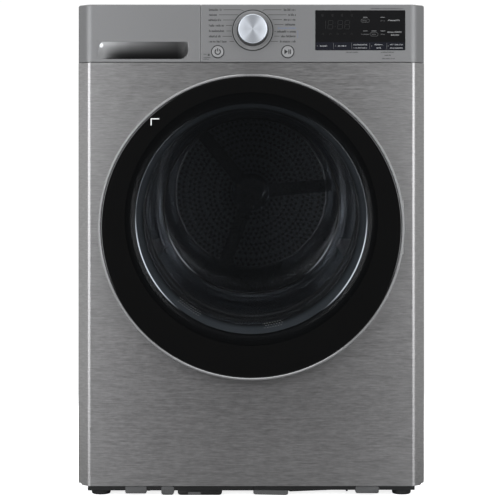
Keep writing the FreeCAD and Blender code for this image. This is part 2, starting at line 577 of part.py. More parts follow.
# Support rollers on pins at the front of the drum; each pin sits in a bracket on the bulkhead.
supports = []
for sx, side in ((1, "right"), (-1, "left")):
    node("%s_drum_roller" % side, ring("y", D.roller_rad, 6.05, sx * D.roller_x, -222.0, D.roller_z, 18.0))
    supports.append(fuse(cyl("y", 6.0, sx * D.roller_x, -248.0, D.roller_z, 47.0), cyl("y", 9.0, sx * D.roller_x, -226.5, D.roller_z, 3.0), cyl("y", 9.0, sx * D.roller_x, -202.5, D.roller_z, 2.0),
                         box(sx * D.roller_x - 16, sx * D.roller_x + 16, -250.5, -246.5, 246.0, D.roller_z + 12),
                         box(sx * D.roller_x - 16, sx * D.roller_x + 16, -296.9, -247.5, 246.0, 250.0)))
node("roller_supports", group(*supports))

# ------------------------------------------------------------------ drive, fan and belt
mx, mz, py = D.motor_x, D.motor_z, D.belt_y
node("motor_body", cut(fuse(cyl("y", 58.0, mx, -150.0, mz, 120.0), cyl("y", 24.0, mx, -162.0, mz, 142.0)), cyl("y", 8.06, mx, -200.0, mz, 220.0)))
node("motor_shaft", fuse(cyl("y", 8.0, mx, -228.0, mz, 250.0), cyl("y", D.pulley_rad, mx, py - 3, mz, D.belt_w + 6), cyl("y", D.pulley_rad + 4, mx, py - 5, mz, 2.0), cyl("y", D.pulley_rad + 4, mx, py + D.belt_w + 3, mz, 2.0)))
blades = [ring("y", 18.0, 8.0, mx, -222.0, mz, 40.0), ring("y", D.fan_rad, 16.0, mx, -184.5, mz, 2.5)]
for i in range(14):
    b = box(num(mx) + 44.0, num(mx) + 70.0, -222.0, -183.0, num(mz) - 1.2, num(mz) + 1.2)
    blades.append(turned(b, V(num(mx), 0, num(mz)), i * 360.0 / 14))
blades.append(ring("y", D.fan_rad, 58.0, mx, -222.0, mz, 2.5))
node("fan_impeller", fuse(*blades))
vol = fuse(cyl("y", 84.0, mx, -230.0, mz, 56.0), box(mx - 84, mx, -230.0, -174.0, mz, mz + 92))
volc = fuse(cyl("y", 80.0, mx, -227.0, mz, 50.0), box(mx - 80, mx - 4, -227.0, -177.0, mz, mz + 100))
node("fan_housing", cut(vol, volc, cyl("y", 26.0, mx, -240.0, mz, 80.0)))

# Belt loop: straight runs between the drum and the motor pulley, read from the sheet.
p1, p2 = V(0, 0, num(D.drum_z)), V(num(mx), 0, num(mz))


def hull(ra, rb):
    """Face bounded by the outer tangents of two circles in the XZ plane."""
    d = p2 - p1
    dist = d.Length
    u = d.multiply(1.0 / dist)
    w = V(-u.z, 0, u.x)
    c = (ra - rb) / dist
    sn = math.sqrt(1 - c * c)
    pts = []
    for sgn in (1, -1):
        nrm = V(u.x * c + sgn * w.x * sn, 0, u.z * c + sgn * w.z * sn)
        pts.append((p1 + nrm * ra, p2 + nrm * rb))
    far1 = p1 - u * ra
    far2 = p2 + u * rb
    wire = Part.Wire([Part.Arc(pts[0][0], far1, pts[1][0]).toShape(), Part.LineSegment(pts[1][0], pts[1][1]).toShape(),
                      Part.Arc(pts[1][1], far2, pts[0][1]).toShape(), Part.LineSegment(pts[0][1], pts[0][0]).toShape()])
    return Part.Face(wire), pts


g, bt = num(D.belt_gap), num(D.belt_t)
inner_face, _ = hull(num(D.drum_rad) + g, num(D.pulley_rad) + g)
outer_face, tang = hull(num(D.drum_rad) + g + bt, num(D.pulley_rad) + g + bt)
loop = outer_face.extrude(V(0, num(D.belt_w), 0)).cut(inner_face.extrude(V(0, num(D.belt_w), 0)))
o = doc.addObject("Part::Feature", "BeltLoop")
o.Shape = loop
o.Placement = FreeCAD.Placement(V(0, num(D.belt_y), 0), FreeCAD.Rotation())
node("drive_belt", o)

# Belt tensioner: a small pulley on an arm, just outside the slack run.
run = sorted(tang, key=lambda p: p[0].x)[0]
mid = run[0] * 0.22 + run[1] * 0.78
dirn = (run[1] - run[0]).normalize()
nrm = V(dirn.z, 0, -dirn.x)
if (mid + nrm * 10 - V(0, 0, num(D.drum_z))).Length < (mid - V(0, 0, num(D.drum_z))).Length:
    nrm = nrm * -1
if nrm.x > 0:
    nrm = nrm * -1
tx = round(mid.x + nrm.x * 14.4, 1)
tzz = round(mid.z + nrm.z * 14.4, 1)
node("tension_pulley", ring("y", 14.0, 4.05, tx, py - 2, tzz, D.belt_w + 4))
node("tension_arm", fuse(cyl("y", 4.0, tx, py - 12, tzz, D.belt_w + 17), cyl("y", 7.0, tx, py - 6.0, tzz, 3.6), box(tx - 7, tx + 7, py - 12, py - 6, D.pan_z + 4, tzz + 6)))

# ------------------------------------------------------------------ heat pump
o = Solid()
o.turn(o.sketch("XZ", 0.0, [[(0.0, 34.0), (52.0, 34.0), (58.0, 42.0), (58.0, 150.0), (50.0, 172.0), (28.0, 184.0), (0.0, 187.0)]]))
place(o.body, 190.0, 200.0, 0.0)
node("compressor", o.body)

def coil(xa, xb, ya, yb, za, zb, n):
    """Finned heat exchanger: end plates, fins joined by the tube rows."""
    sol = Solid()
    w = (num(xb) - num(xa))
    sol.pad(sol.sketch("YZ", xa, [[(ya, za), (yb, za), (yb, zb), (ya, zb)]]), 1.6)
    first = sol.pad(sol.sketch("YZ", xa, [[(ya + 2, za + 2), (yb - 2, za + 2), (yb - 2, zb - 2), (ya + 2, zb - 2)]]), 0.8)
    lp = sol.body.newObject("PartDesign::LinearPattern", tag("Pattern"))
    lp.Originals = [first]
    lp.Direction = (first.Profile[0], ["N_Axis"])
    lp.Length = w - 1.0
    lp.Occurrences = n
    sol.body.Tip = lp
    doc.recompute()
    tubes = []
    for k in range(4):
        for j in range(2):
            tubes.append(cyl("x", 4.8, xa, ya + (yb - ya) * (0.28 + 0.44 * j), za + (zb - za) * (0.14 + 0.24 * k), xb - xa))
    return fuse(sol.body, *tubes)


node("heat_exchanger_coils", group(coil(-255.0, -75.0, -165.0, -75.0, 62.0, 216.0, 24), coil(-255.0, -75.0, -45.0, 75.0, 62.0, 216.0, 24)))
duct = cut(box(-265.0, -65.0, -180.0, 100.0, 56.0, 222.0), box(-262.0, -68.0, -190.0, 110.0, 40.0, 219.0))
node("heat_exchanger_duct", duct)
# Drain pump in the front left of the pan and its cover below.
node("drain_pump", fuse(cyl("z", 30.0, -120.0, -250.0, D.pan_z + 4, 44.0), cyl("z", 20.0, -120.0, -250.0, D.pan_z + 48, 26.0), cyl("x", 6.0, -120.0, -250.0, D.pan_z + 18, 48.0)))

# Lint filter: housing in the bulkhead foot, folding frame with mesh and a grip.
house = cut(box(-100.0 , 100.0, -294.5, -253.5, 150.0, 276.0), box(-96.5 , 96.5, -291.0, -257.0, 154.0, 290.0))
node("lint_filter_housing", house)
frame = cut(box(-94.0 , 94.0, -286.0, -262.0, 158.0, 292.0), box(-88.0 , 88.0, -290.0, -258.0, 166.0, 270.0))
node("lint_filter", fuse(frame, box(-88.5 , 88.5, -275.0, -273.5, 165.5, 270.5)))

# ------------------------------------------------------------------ rear services
node("cable_inlet", cut(fuse(cyl("y", 12.5, 225.0, by - 12, 780.0, 14.0), cyl("y", 17.0, 225.0, by, 780.0, 4.0)), cyl("y", 5.0, 225.0, by - 20, 780.0, 40.0)))
node("drain_spigot", cut(fuse(cyl("y", 12.9, -220.0, by - 10, 120.0, 10.0), cyl("y", 16.0, -220.0, by, 120.0, 3.0), cyl("y", 9.0, -220.0, by, 120.0, 15.0)), cyl("y", 6.5, -220.0, by - 20, 120.0, 60.0)))

# ------------------------------------------------------------------ underside at the front
# Levelling feet: rubber-soled pad, nut and threaded stem.
for sx, sside in ((-1, "left"), (1, "right")):
    for y, fside in ((D.foot_yf, "front"), (D.foot_yr, "rear")):
        node("%s_%s_foot" % (fside, sside), fuse(cyl("z", D.foot_rad, sx * D.foot_x, y, 0.0, 8.0), cone("z", D.foot_rad, 9.0, sx * D.foot_x, y, 8.0, 2.5), cyl("z", D.stem_rad, sx * D.foot_x, y, 8.0, 34.0)))

# ------------------------------------------------------------------ door
dz = D.door_z
# Trim ring: bright outer hoop, thicker at the back, with a pocket for the hinge.
o = Solid()
R = D.door_rad
prof = [(R - 4.2, D.door_front + 1.2), (R - 3.2, D.door_front), (R - 1.2, D.door_front), (R, D.door_front + 1.4), (R, D.door_rear), (R - 3.0, D.door_rear), (R - 3.0, D.door_front + 4), (R - 4.2, D.door_front + 4)]
o.turn(o.sketch("XY", 0.0, [prof]))
place(o.body, 0.0, 0.0, dz)
pocket_box = box(D.hinge_x - 26, D.hinge_x + 20, D.door_front + 4, D.door_rear + 5, dz - 58, dz + 58)
node("door_ring", cut(o.body, pocket_box))

# Outer lens: smoked disc with a slight dish, seated inside the ring.
o = Solid()
o.turn(o.sketch("XY", 0.0, [[(0.0, D.door_front + 3.4), (R - 45, D.door_front + 3.4), (R - 12, D.door_front + 2.6), (R - 4.4, D.door_front + 1.6), (R - 4.4, D.door_front + 5.0), (R - 45, D.door_front + 6.4), (0.0, D.door_front + 6.4)]]))
place(o.body, 0.0, 0.0, dz)
node("door_lens", o.body)

# Inner frame: moulded ring that carries lens, bowl, seal and hook.
o = Solid()
o.turn(o.sketch("XY", 0.0, [[(R - 46, D.door_front + 6.6), (R - 5, D.door_front + 6.6), (R - 3.2, D.door_front + 8.0), (R - 3.2, D.door_rear - 0.5), (R - 46, D.door_rear - 0.5), (R - 46, D.door_rear - 3.5), (R - 6.5, D.door_rear - 3.5), (R - 6.5, D.door_front + 9.6), (R - 46, D.door_front + 9.6)]]))
place(o.body, 0.0, 0.0, dz)
inner_wall = cut(cyl("y", 217.5, 0.0, D.door_front + 6.6, dz + 4, 16.9), cyl("y", 213.5, 0.0, D.door_front, dz + 4, 40.0))
flange_ring = cut(cyl("y", 217.5, 0.0, D.door_front + 12.6, dz + 4, 3.0), cyl("y", D.bowl_rad + 1, 0.0, D.door_front, D.bowl_z, 60.0))
node("door_inner_frame", cut(fuse(o.body, inner_wall, flange_ring), pocket_box))

# Bowl: glass, wide at the door and leaning up towards its flat end.
bo = Solid()
c1 = bo.sketch("XZ", 335.0, [("circle", 0.0, D.bowl_z, D.bowl_rad)])
c2 = bo.sketch("XZ", -D.bowl_end_y + 12, [("circle", 0.0, D.bowl_end_z - 2.2, D.bowl_end_rad + 3)])
c3 = bo.sketch("XZ", -D.bowl_end_y, [("circle", 0.0, D.bowl_end_z, D.bowl_end_rad - 11)])
bo.loft([c1, c2, c3], ruled=True)
bi = Solid()
k1 = bi.sketch("XZ", 336.0, [("circle", 0.0, D.bowl_z, D.bowl_rad - D.bowl_t)])
k2 = bi.sketch("XZ", -D.bowl_end_y + 14, [("circle", 0.0, D.bowl_end_z - 2.2, D.bowl_end_rad + 3 - D.bowl_t)])
k3 = bi.sketch("XZ", -D.bowl_end_y + D.bowl_t, [("circle", 0.0, D.bowl_end_z, D.bowl_end_rad - 13)])
bi.loft([k1, k2, k3], ruled=True)
rim = cut(cyl("y", 213.2, 0.0, -335.4, dz + 4, 3.0), cyl("y", D.bowl_rad - 1, 0.0, -350.0, D.bowl_z, 40.0))
node("door_bowl", fuse(cut(bo.body, bi.body), rim))

# Seal: rubber lip ring on the back of the door.
o = Solid()
o.turn(o.sketch("XY", 0.0, [[(205.0, D.door_rear - 0.5), (216.0, D.door_rear - 0.5), (216.0, D.door_rear + 2.0), (213.0, -311.5), (209.0, -311.5), (207.5, D.door_rear + 3.0), (205.0, D.door_rear + 2.0)]]))
place(o.body, 0.0, 0.0, dz + 8)
node("door_seal", o.body)

# Latch hook and its catch behind the front panel.
node("door_hook", fuse(box(-246.0 , -238.5, D.door_rear - 0.5, -300.0, dz - 7, dz + 7), box(-246.0 , -235.5, -304.0, -300.0, dz - 7, dz + 7)))
node("door_catch", cut(box(-260.0 , -229.6, fy + t, -304.0 + 8, dz - 20, dz + 20), box(-251.5 , -232.9, fy - 2, -290.0, dz - 13, dz + 13)))

# Hinge: fixed plate with two knuckles, pin, and the moving leaf between them.
hx, hy, kr2 = D.hinge_x, D.hinge_y, D.knuckle_rad
fixed = [box(hx - 19, hx, fy - 2.8, fy, dz - 48, dz + 48)]
bores = []
for sz in (1, -1):
    za = dz + 34 if sz > 0 else dz - 46
    fixed += [cyl("z", kr2, hx, hy, za, 12.0), box(hx - 3, hx + 3, hy, fy - 1.0, za, za + 12)]
node("hinge_bracket", cut(fuse(*fixed), cyl("z", D.pin_rad, hx, hy, dz - 60, 120.0)))
node("hinge_pin", cyl("z", D.pin_rad, hx, hy, dz - 46, 92.0))
node("hinge_leaf", cut(fuse(cyl("z", kr2, hx, hy, dz - 34 + D.hinge_gap, 68 - 2 * D.hinge_gap), box(hx - 26, hx, hy - 2.5, hy + 2.5, dz - 34 + D.hinge_gap, dz + 34 - D.hinge_gap)),
                        cyl("z", D.pin_rad + 0.08, hx, hy, dz - 60, 120.0)))

# ------------------------------------------------------------------ checks and export
doc.recompute()
bad = []
for obj in doc.Objects:
    if any(state in ("Invalid", "Error") for state in obj.State):
        bad.append("%s (%s): %s" % (obj.Name, obj.TypeId, obj.State))
for label, obj in NODES:
    shape = obj.Shape
    if shape.isNull() or not shape.isValid() or not shape.Solids:
        bad.append("%s: shape is null or not valid" % label)
if bad:
    raise RuntimeError("failed: " + "; ".join(bad))
if len({label for label, _ in NODES}) != len(NODES) or len(NODES) > 60:
    raise RuntimeError("node names clash or there are too many: %d" % len(NODES))

os.makedirs("parts", exist_ok=True)
for label, obj in NODES:
    obj.Shape.exportStep("parts/%s.step" % label)
    b = obj.Shape.BoundBox
    print("%-24s solids %d  vol %10.0f  x %7.1f %7.1f  y %7.1f %7.1f  z %7.1f %7.1f" % (
        label, len(obj.Shape.Solids), obj.Shape.Volume, b.XMin, b.XMax, b.YMin, b.YMax, b.ZMin, b.ZMax))
print(len(NODES), "nodes")
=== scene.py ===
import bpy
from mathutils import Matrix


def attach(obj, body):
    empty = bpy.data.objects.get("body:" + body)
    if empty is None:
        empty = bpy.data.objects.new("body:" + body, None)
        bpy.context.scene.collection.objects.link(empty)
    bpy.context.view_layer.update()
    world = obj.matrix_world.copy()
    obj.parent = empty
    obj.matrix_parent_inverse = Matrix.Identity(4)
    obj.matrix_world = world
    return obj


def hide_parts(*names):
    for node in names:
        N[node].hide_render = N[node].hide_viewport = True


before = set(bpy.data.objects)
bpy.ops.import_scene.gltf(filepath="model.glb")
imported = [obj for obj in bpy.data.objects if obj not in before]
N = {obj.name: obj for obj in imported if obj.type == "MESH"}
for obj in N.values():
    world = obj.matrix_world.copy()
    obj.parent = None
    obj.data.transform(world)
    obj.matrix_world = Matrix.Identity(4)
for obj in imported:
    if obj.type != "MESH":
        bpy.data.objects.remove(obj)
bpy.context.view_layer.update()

import math
import random

import bmesh
import bpy
import numpy as np
from mathutils import Matrix, Vector

S = bpy.context.scene
mm = 0.001

# ---------------------------------------------------------------- camera
cam_data = bpy.data.cameras.new("camera")
cam = bpy.data.objects.new("camera", cam_data)
S.collection.objects.link(cam)
CAM_Z, CAM_D = 0.505, 2.70
cam.location = (-0.00225, -0.318 - CAM_D, CAM_Z)
cam.rotation_euler = (math.radians(90), 0, 0)
cam_data.sensor_width = 36.0
cam_data.lens = 112.5
cam_data.shift_y = -0.0921
cam_data.clip_end = 100
S.camera = cam
S.view_settings.view_transform = "Standard"

# ---------------------------------------------------------------- node helpers


def srgb(v):
    """sRGB 0..255 to linear."""
    v = v / 255.0
    return v / 12.92 if v <= 0.04045 else ((v + 0.055) / 1.055) ** 2.4


def grey(v, tint=(1.0, 1.0, 1.0)):
    g = srgb(v)
    return (g * tint[0], g * tint[1], g * tint[2], 1.0)


def material(name, color, metallic=0.0, rough=0.5, **sockets):
    m = bpy.data.materials.new(name)
    m.use_nodes = True
    b = m.node_tree.nodes["Principled BSDF"]
    b.inputs["Base Color"].default_value = color if len(color) == 4 else (*color, 1.0)
    b.inputs["Metallic"].default_value = metallic
    b.inputs["Roughness"].default_value = rough
    for k, v in sockets.items():
        b.inputs[k.replace("_", " ")].default_value = v
    return m


def nodes_of(m):
    return m.node_tree, m.node_tree.nodes["Principled BSDF"]


def coords(nt, scale, rot=(0, 0, 0)):
    tc = nt.nodes.new("ShaderNodeTexCoord")
    mp = nt.nodes.new("ShaderNodeMapping")
    mp.inputs["Scale"].default_value = scale
    mp.inputs["Rotation"].default_value = rot
    nt.links.new(tc.outputs["Object"], mp.inputs["Vector"])
    return mp.outputs["Vector"]


def noise(nt, vec, scale=1.0, detail=3.0, rough=0.55):
    n = nt.nodes.new("ShaderNodeTexNoise")
    n.inputs["Scale"].default_value = scale
    n.inputs["Detail"].default_value = detail
    n.inputs["Roughness"].default_value = rough
    nt.links.new(vec, n.inputs["Vector"])
    return n.outputs["Fac"]


def remap(nt, fac, lo, hi, a=0.3, b=0.7):
    r = nt.nodes.new("ShaderNodeMapRange")
    r.inputs["From Min"].default_value = a
    r.inputs["From Max"].default_value = b
    r.inputs["To Min"].default_value = lo
    r.inputs["To Max"].default_value = hi
    nt.links.new(fac, r.inputs["Value"])
    return r.outputs["Result"]


def mix_color(nt, fac, c1, c2):
    r = nt.nodes.new("ShaderNodeMix")
    r.data_type = "RGBA"
    r.inputs["A"].default_value = c1
    r.inputs["B"].default_value = c2
    nt.links.new(fac, r.inputs["Factor"])
    return r.outputs["Result"]


def add(nt, a, b, ka=0.5, kb=0.5):
    ma = nt.nodes.new("ShaderNodeMath"); ma.operation = "MULTIPLY"; ma.inputs[1].default_value = ka
    mb = nt.nodes.new("ShaderNodeMath"); mb.operation = "MULTIPLY_ADD"; mb.inputs[1].default_value = kb
    nt.links.new(a, ma.inputs[0]); nt.links.new(b, mb.inputs[0]); nt.links.new(ma.outputs[0], mb.inputs[2])
    return mb.outputs[0]


def bump(nt, height, bsdf, strength=0.2, dist=0.0002):
    n = nt.nodes.new("ShaderNodeBump")
    n.inputs["Strength"].default_value = strength
    n.inputs["Distance"].default_value = dist
    nt.links.new(height, n.inputs["Height"])
    nt.links.new(n.outputs["Normal"], bsdf.inputs["Normal"])


def brushed(name, color, rough=(0.30, 0.42), along="x", fine=1400.0, tone=0.10, metallic=1.0, strength=0.25, aniso=0.0):
    """Brushed sheet: streaks along one axis, at two scales."""
    m = material(name, color, metallic, rough[0])
    nt, b = nodes_of(m)
    long_, short = 9.0, fine
    sc = {"x": (long_, short * 0.4, short), "z": (short, short * 0.4, long_), "y": (short, long_, short)}[along]
    sc2 = tuple(v * 0.22 for v in sc)
    n1 = noise(nt, coords(nt, sc), 1.0, 2.0)
    n2 = noise(nt, coords(nt, sc2), 1.0, 4.0)
    mix = add(nt, n1, n2, 0.55, 0.45)
    nt.links.new(remap(nt, mix, rough[0], rough[1]), b.inputs["Roughness"])
    c = np.array(color[:3])
    lo = (*(c * (1 - tone)), 1); hi = (*(c * (1 + tone)), 1)
    nt.links.new(mix_color(nt, remap(nt, mix, 0, 1), lo, hi), b.inputs["Base Color"])
    bump(nt, mix, b, strength, 0.00004)
    if aniso:
        b.inputs["Anisotropic"].default_value = aniso
    return m


def speckled(name, color, metallic, rough, scale=2500.0, tone=0.05, strength=0.15, dist=0.00003, detail=2.0, **sockets):
    """Paint or plastic with a fine even grain."""
    m = material(name, color, metallic, rough[0], **sockets)
    nt, b = nodes_of(m)
    n = noise(nt, coords(nt, (1, 1, 1)), scale, detail)
    big = noise(nt, coords(nt, (1, 1, 1)), 14.0, 3.0)
    nt.links.new(remap(nt, add(nt, n, big, 0.5, 0.5), rough[0], rough[1]), b.inputs["Roughness"])
    c = np.array(color[:3])
    lo = (*(c * (1 - tone)), 1); hi = (*(c * (1 + tone)), 1)
    nt.links.new(mix_color(nt, remap(nt, add(nt, n, big, 0.6, 0.4), 0, 1), lo, hi), b.inputs["Base Color"])
    bump(nt, n, b, strength, dist)
    return m


# ---------------------------------------------------------------- materials
M = {}
M["front"] = brushed("brushed_front", grey(150, (1.0, 1.0, 1.005)), (0.34, 0.46), "x", 1500.0, 0.07, 0.95, 0.30)
M["fascia"] = speckled("fascia_silver", grey(115), 0.70, (0.48, 0.54), 3500.0, 0.02, 0.10)
M["cabinet"] = speckled("cabinet_paint", grey(150, (1.0, 1.0, 1.01)), 0.55, (0.38, 0.48), 1800.0, 0.03, 0.20, 0.00005)
M["top"] = speckled("top_paint", grey(150, (1.0, 1.0, 1.01)), 0.45, (0.42, 0.52), 1500.0, 0.03, 0.30, 0.00006)
M["zinc"] = speckled("galvanised", grey(168, (1.0, 1.01, 1.02)), 0.9, (0.35, 0.6), 120.0, 0.10, 0.10, 0.00005, 4.0)
M["black"] = speckled("black_plastic", grey(26), 0.0, (0.50, 0.62), 1600.0, 0.10, 0.35, 0.00008)
M["grey"] = speckled("grey_plastic", grey(62), 0.0, (0.45, 0.6), 1300.0, 0.06, 0.35, 0.00008)
M["mid"] = speckled("mid_grey_plastic", grey(71), 0.0, (0.5, 0.62), 1300.0, 0.06, 0.35, 0.00008)
M["light"] = speckled("light_plastic", grey(205, (1.0, 1.0, 0.985)), 0.0, (0.35, 0.5), 900.0, 0.03, 0.25, 0.00006)
M["display"] = speckled("display_black", grey(20, (1.0, 1.0, 1.05)), 0.0, (0.06, 0.10), 60.0, 0.05, 0.02, 0.00001)
M["chrome"] = speckled("chrome_trim", grey(168), 0.85, (0.30, 0.36), 900.0, 0.02, 0.05, 0.00001)
M["knob_side"] = brushed("knob_side", grey(84, (0.98, 1.0, 1.03)), (0.28, 0.38), "y", 900.0, 0.05, 1.0, 0.15)
M["door_black"] = speckled("door_black", grey(14), 0.0, (0.10, 0.16), 40.0, 0.05, 0.02, 0.00001)
M["frame_grey"] = speckled("door_frame_grey", grey(70, (0.98, 1.0, 1.03)), 0.1, (0.30, 0.42), 1200.0, 0.05, 0.3, 0.00006)
M["rubber"] = speckled("seal_rubber", grey(38), 0.0, (0.60, 0.75), 900.0, 0.08, 0.35, 0.0001)
M["felt"] = speckled("felt", (0.42, 0.40, 0.36), 0.0, (0.9, 1.0), 1500.0, 0.25, 0.9, 0.0004, 6.0)
M["steel"] = brushed("steel_pin", grey(178), (0.22, 0.36), "z", 900.0, 0.06, 1.0, 0.15)
M["alloy"] = speckled("cast_alloy", grey(165), 0.9, (0.4, 0.6), 700.0, 0.08, 0.5, 0.0001)
M["fins"] = brushed("coil_fins", grey(205), (0.2, 0.35), "z", 300.0, 0.06, 1.0, 0.2)
M["enamel"] = speckled("compressor_black", grey(20), 0.0, (0.18, 0.32), 300.0, 0.08, 0.2, 0.0001)
M["board"] = speckled("board", (0.02, 0.10, 0.045), 0.0, (0.35, 0.5), 300.0, 0.2, 0.2, 0.0001)
M["belt"] = speckled("belt_rubber", grey(24), 0.0, (0.55, 0.7), 700.0, 0.1, 0.4, 0.0001)
M["foot"] = speckled("foot_rubber", grey(27), 0.0, (0.55, 0.7), 1000.0, 0.1, 0.4, 0.0001)
M["ink"] = speckled("ink_dark", grey(16), 0.0, (0.5, 0.6), 800.0, 0.08, 0.05, 0.00001)
M["ink_mid"] = speckled("ink_mid", grey(48), 0.0, (0.5, 0.6), 800.0, 0.06, 0.05, 0.00001)
M["ink_blue"] = speckled("ink_blue", (0.10, 0.13, 0.21), 0.0, (0.5, 0.6), 800.0, 0.06, 0.05, 0.00001)
M["ink_light"] = speckled("ink_light", grey(150), 0.0, (0.4, 0.5), 800.0, 0.04, 0.05, 0.00001)
M["ink_unlit"] = speckled("ink_unlit", grey(84), 0.0, (0.12, 0.16), 800.0, 0.04, 0.05, 0.00001)
M["ink_seg"] = speckled("ink_segment", grey(38), 0.0, (0.10, 0.14), 800.0, 0.04, 0.05, 0.00001)
M["strip"] = speckled("key_strip", grey(27, (0.95, 1.0, 1.35)), 0.0, (0.10, 0.14), 60.0, 0.05, 0.02, 0.00001)
M["groove"] = speckled("groove_dark", grey(24), 0.3, (0.4, 0.55), 900.0, 0.05, 0.1, 0.00002)


def clear_material(name, color, alpha, rough, spec=0.5):
    """Tinted glass that lets light straight through."""
    m = material(name, color, 0.0, rough)
    nt, b = nodes_of(m)
    b.inputs["IOR"].default_value = 1.5
    b.inputs["Alpha"].default_value = alpha
    n = noise(nt, coords(nt, (1, 1, 1)), 30.0, 2.0)
    nt.links.new(remap(nt, n, rough, rough + 0.02), b.inputs["Roughness"])
    m.blend_method = "BLEND" if hasattr(m, "blend_method") else m.blend_method
    return m


def thin_glass(name, tint, rough, ior=1.5, low=0.0, most=1.0):
    """A pane too thin to bend light: it mirrors what its angle says and lets the rest straight through."""
    m = material(name, tint, 1.0, rough)
    nt, b = nodes_of(m)
    fr = nt.nodes.new("ShaderNodeFresnel")
    fr.inputs["IOR"].default_value = ior
    nt.links.new(remap(nt, fr.outputs[0], low, most, 0.0, 1.0), b.inputs["Alpha"])
    n = noise(nt, coords(nt, (1, 1, 1)), 30.0, 2.0)
    nt.links.new(remap(nt, n, rough, rough + 0.02), b.inputs["Roughness"])
    return m


M["lens"] = clear_material("smoked_lens", grey(10, (0.92, 1.0, 1.08)), 0.43, 0.03)
M["bowl"] = thin_glass("bowl_glass", (0.58, 0.62, 0.67, 1.0), 0.07, 1.5, 0.02, 0.55)


def soft_reflection_band(name, inner, outer, r0, r1, cz, rough):
    """Dark gloss with a painted soft reflection: its colour eases from one tone to another between two radii about the
    bowl's axis.
    """
    m = material(name, inner, 0.0, rough)
    nt, b = nodes_of(m)
    tc = nt.nodes.new("ShaderNodeTexCoord")
    sub = nt.nodes.new("ShaderNodeVectorMath"); sub.operation = "SUBTRACT"; sub.inputs[1].default_value = (0, 0, cz)
    flat = nt.nodes.new("ShaderNodeVectorMath"); flat.operation = "MULTIPLY"; flat.inputs[1].default_value = (1, 0, 1)
    ln = nt.nodes.new("ShaderNodeVectorMath"); ln.operation = "LENGTH"
    nt.links.new(tc.outputs["Object"], sub.inputs[0]); nt.links.new(sub.outputs[0], flat.inputs[0]); nt.links.new(flat.outputs[0], ln.inputs[0])
    n = noise(nt, coords(nt, (1, 1, 1)), 60.0, 2.0)
    nt.links.new(mix_color(nt, remap(nt, ln.outputs["Value"], 0, 1, r0, r1), inner, outer), b.inputs["Base Color"])
    nt.links.new(remap(nt, n, rough, rough + 0.03), b.inputs["Roughness"])
    return m


# painted reflections: the soft blue-grey bands on the bowl's flare and mouth
M["flare"] = soft_reflection_band("bowl_flare", grey(32, (0.88, 1.0, 1.14)), grey(10), 0.199, 0.2150, 0.479, 0.16)
M["mouth"] = soft_reflection_band("bowl_mouth", grey(14), grey(122, (0.86, 1.0, 1.14)), 0.1855, 0.1925, 0.482, 0.24)
M["lens_band"] = speckled("lens_band", grey(9), 0.0, (0.045, 0.07), 30.0, 0.05, 0.02, 0.00001)

# spun knob face: radial brushing, built from the angle about the knob axis
KX, KZ = 0.0025, 0.805


def spun(name, color, cx, cz, rough=(0.20, 0.30), tone=0.05):
    m = material(name, color, 1.0, rough[0])
    nt, b = nodes_of(m)
    tc = nt.nodes.new("ShaderNodeTexCoord")
    sub = nt.nodes.new("ShaderNodeVectorMath"); sub.operation = "SUBTRACT"
    sub.inputs[1].default_value = (cx, 0, cz)
    nt.links.new(tc.outputs["Object"], sub.inputs[0])
    sep = nt.nodes.new("ShaderNodeSeparateXYZ")
    nt.links.new(sub.outputs[0], sep.inputs[0])
    at = nt.nodes.new("ShaderNodeMath"); at.operation = "ARCTAN2"
    nt.links.new(sep.outputs["Z"], at.inputs[0]); nt.links.new(sep.outputs["X"], at.inputs[1])
    ln = nt.nodes.new("ShaderNodeVectorMath"); ln.operation = "LENGTH"
    nt.links.new(sub.outputs[0], ln.inputs[0])
    comb = nt.nodes.new("ShaderNodeCombineXYZ")
    nt.links.new(ln.outputs["Value"], comb.inputs["X"])
    mp = nt.nodes.new("ShaderNodeMapping"); mp.inputs["Scale"].default_value = (6000, 1, 1)
    nt.links.new(comb.outputs[0], mp.inputs["Vector"])
    rings = noise(nt, mp.outputs[0], 1.0, 2.0)
    # painted reflection: broad light and dark fans, as a spun face shows them under the lamps, put into the colour
    two = nt.nodes.new("ShaderNodeMath"); two.operation = "MULTIPLY"; two.inputs[1].default_value = 2.0
    nt.links.new(at.outputs[0], two.inputs[0])
    cs = nt.nodes.new("ShaderNodeMath"); cs.operation = "COSINE"
    nt.links.new(two.outputs[0], cs.inputs[0])
    painted_fan = nt.nodes.new("ShaderNodeMapRange")
    painted_fan.inputs["From Min"].default_value = -1; painted_fan.inputs["From Max"].default_value = 1
    painted_fan.inputs["To Min"].default_value = 0.0; painted_fan.inputs["To Max"].default_value = 1.0
    painted_fan.interpolation_type = "SMOOTHSTEP"
    painted_fan.inputs["From Max"].default_value = 0.1
    nt.links.new(cs.outputs[0], painted_fan.inputs["Value"])
    # finer painted reflection at four times the angle
    four = nt.nodes.new("ShaderNodeMath"); four.operation = "MULTIPLY"; four.inputs[1].default_value = 4.0
    nt.links.new(at.outputs[0], four.inputs[0])
    c4 = nt.nodes.new("ShaderNodeMath"); c4.operation = "COSINE"
    nt.links.new(four.outputs[0], c4.inputs[0])
    c = np.array(color[:3])
    fac = add(nt, add(nt, painted_fan.outputs["Result"], rings, 0.80, 0.20), c4.outputs[0], 0.90, -0.10)
    nt.links.new(mix_color(nt, fac, (*(c * 0.62), 1), (*np.minimum(c * 1.08, 1.0), 1)), b.inputs["Base Color"])
    nt.links.new(remap(nt, rings, rough[0], rough[1]), b.inputs["Roughness"])
    bump(nt, rings, b, 0.15, 0.00002)
    return m


M["knob_face"] = spun("knob_face", (0.500, 0.522, 0.555, 1.0), KX, KZ, (0.42, 0.50))

# ---------------------------------------------------------------- mesh helpers


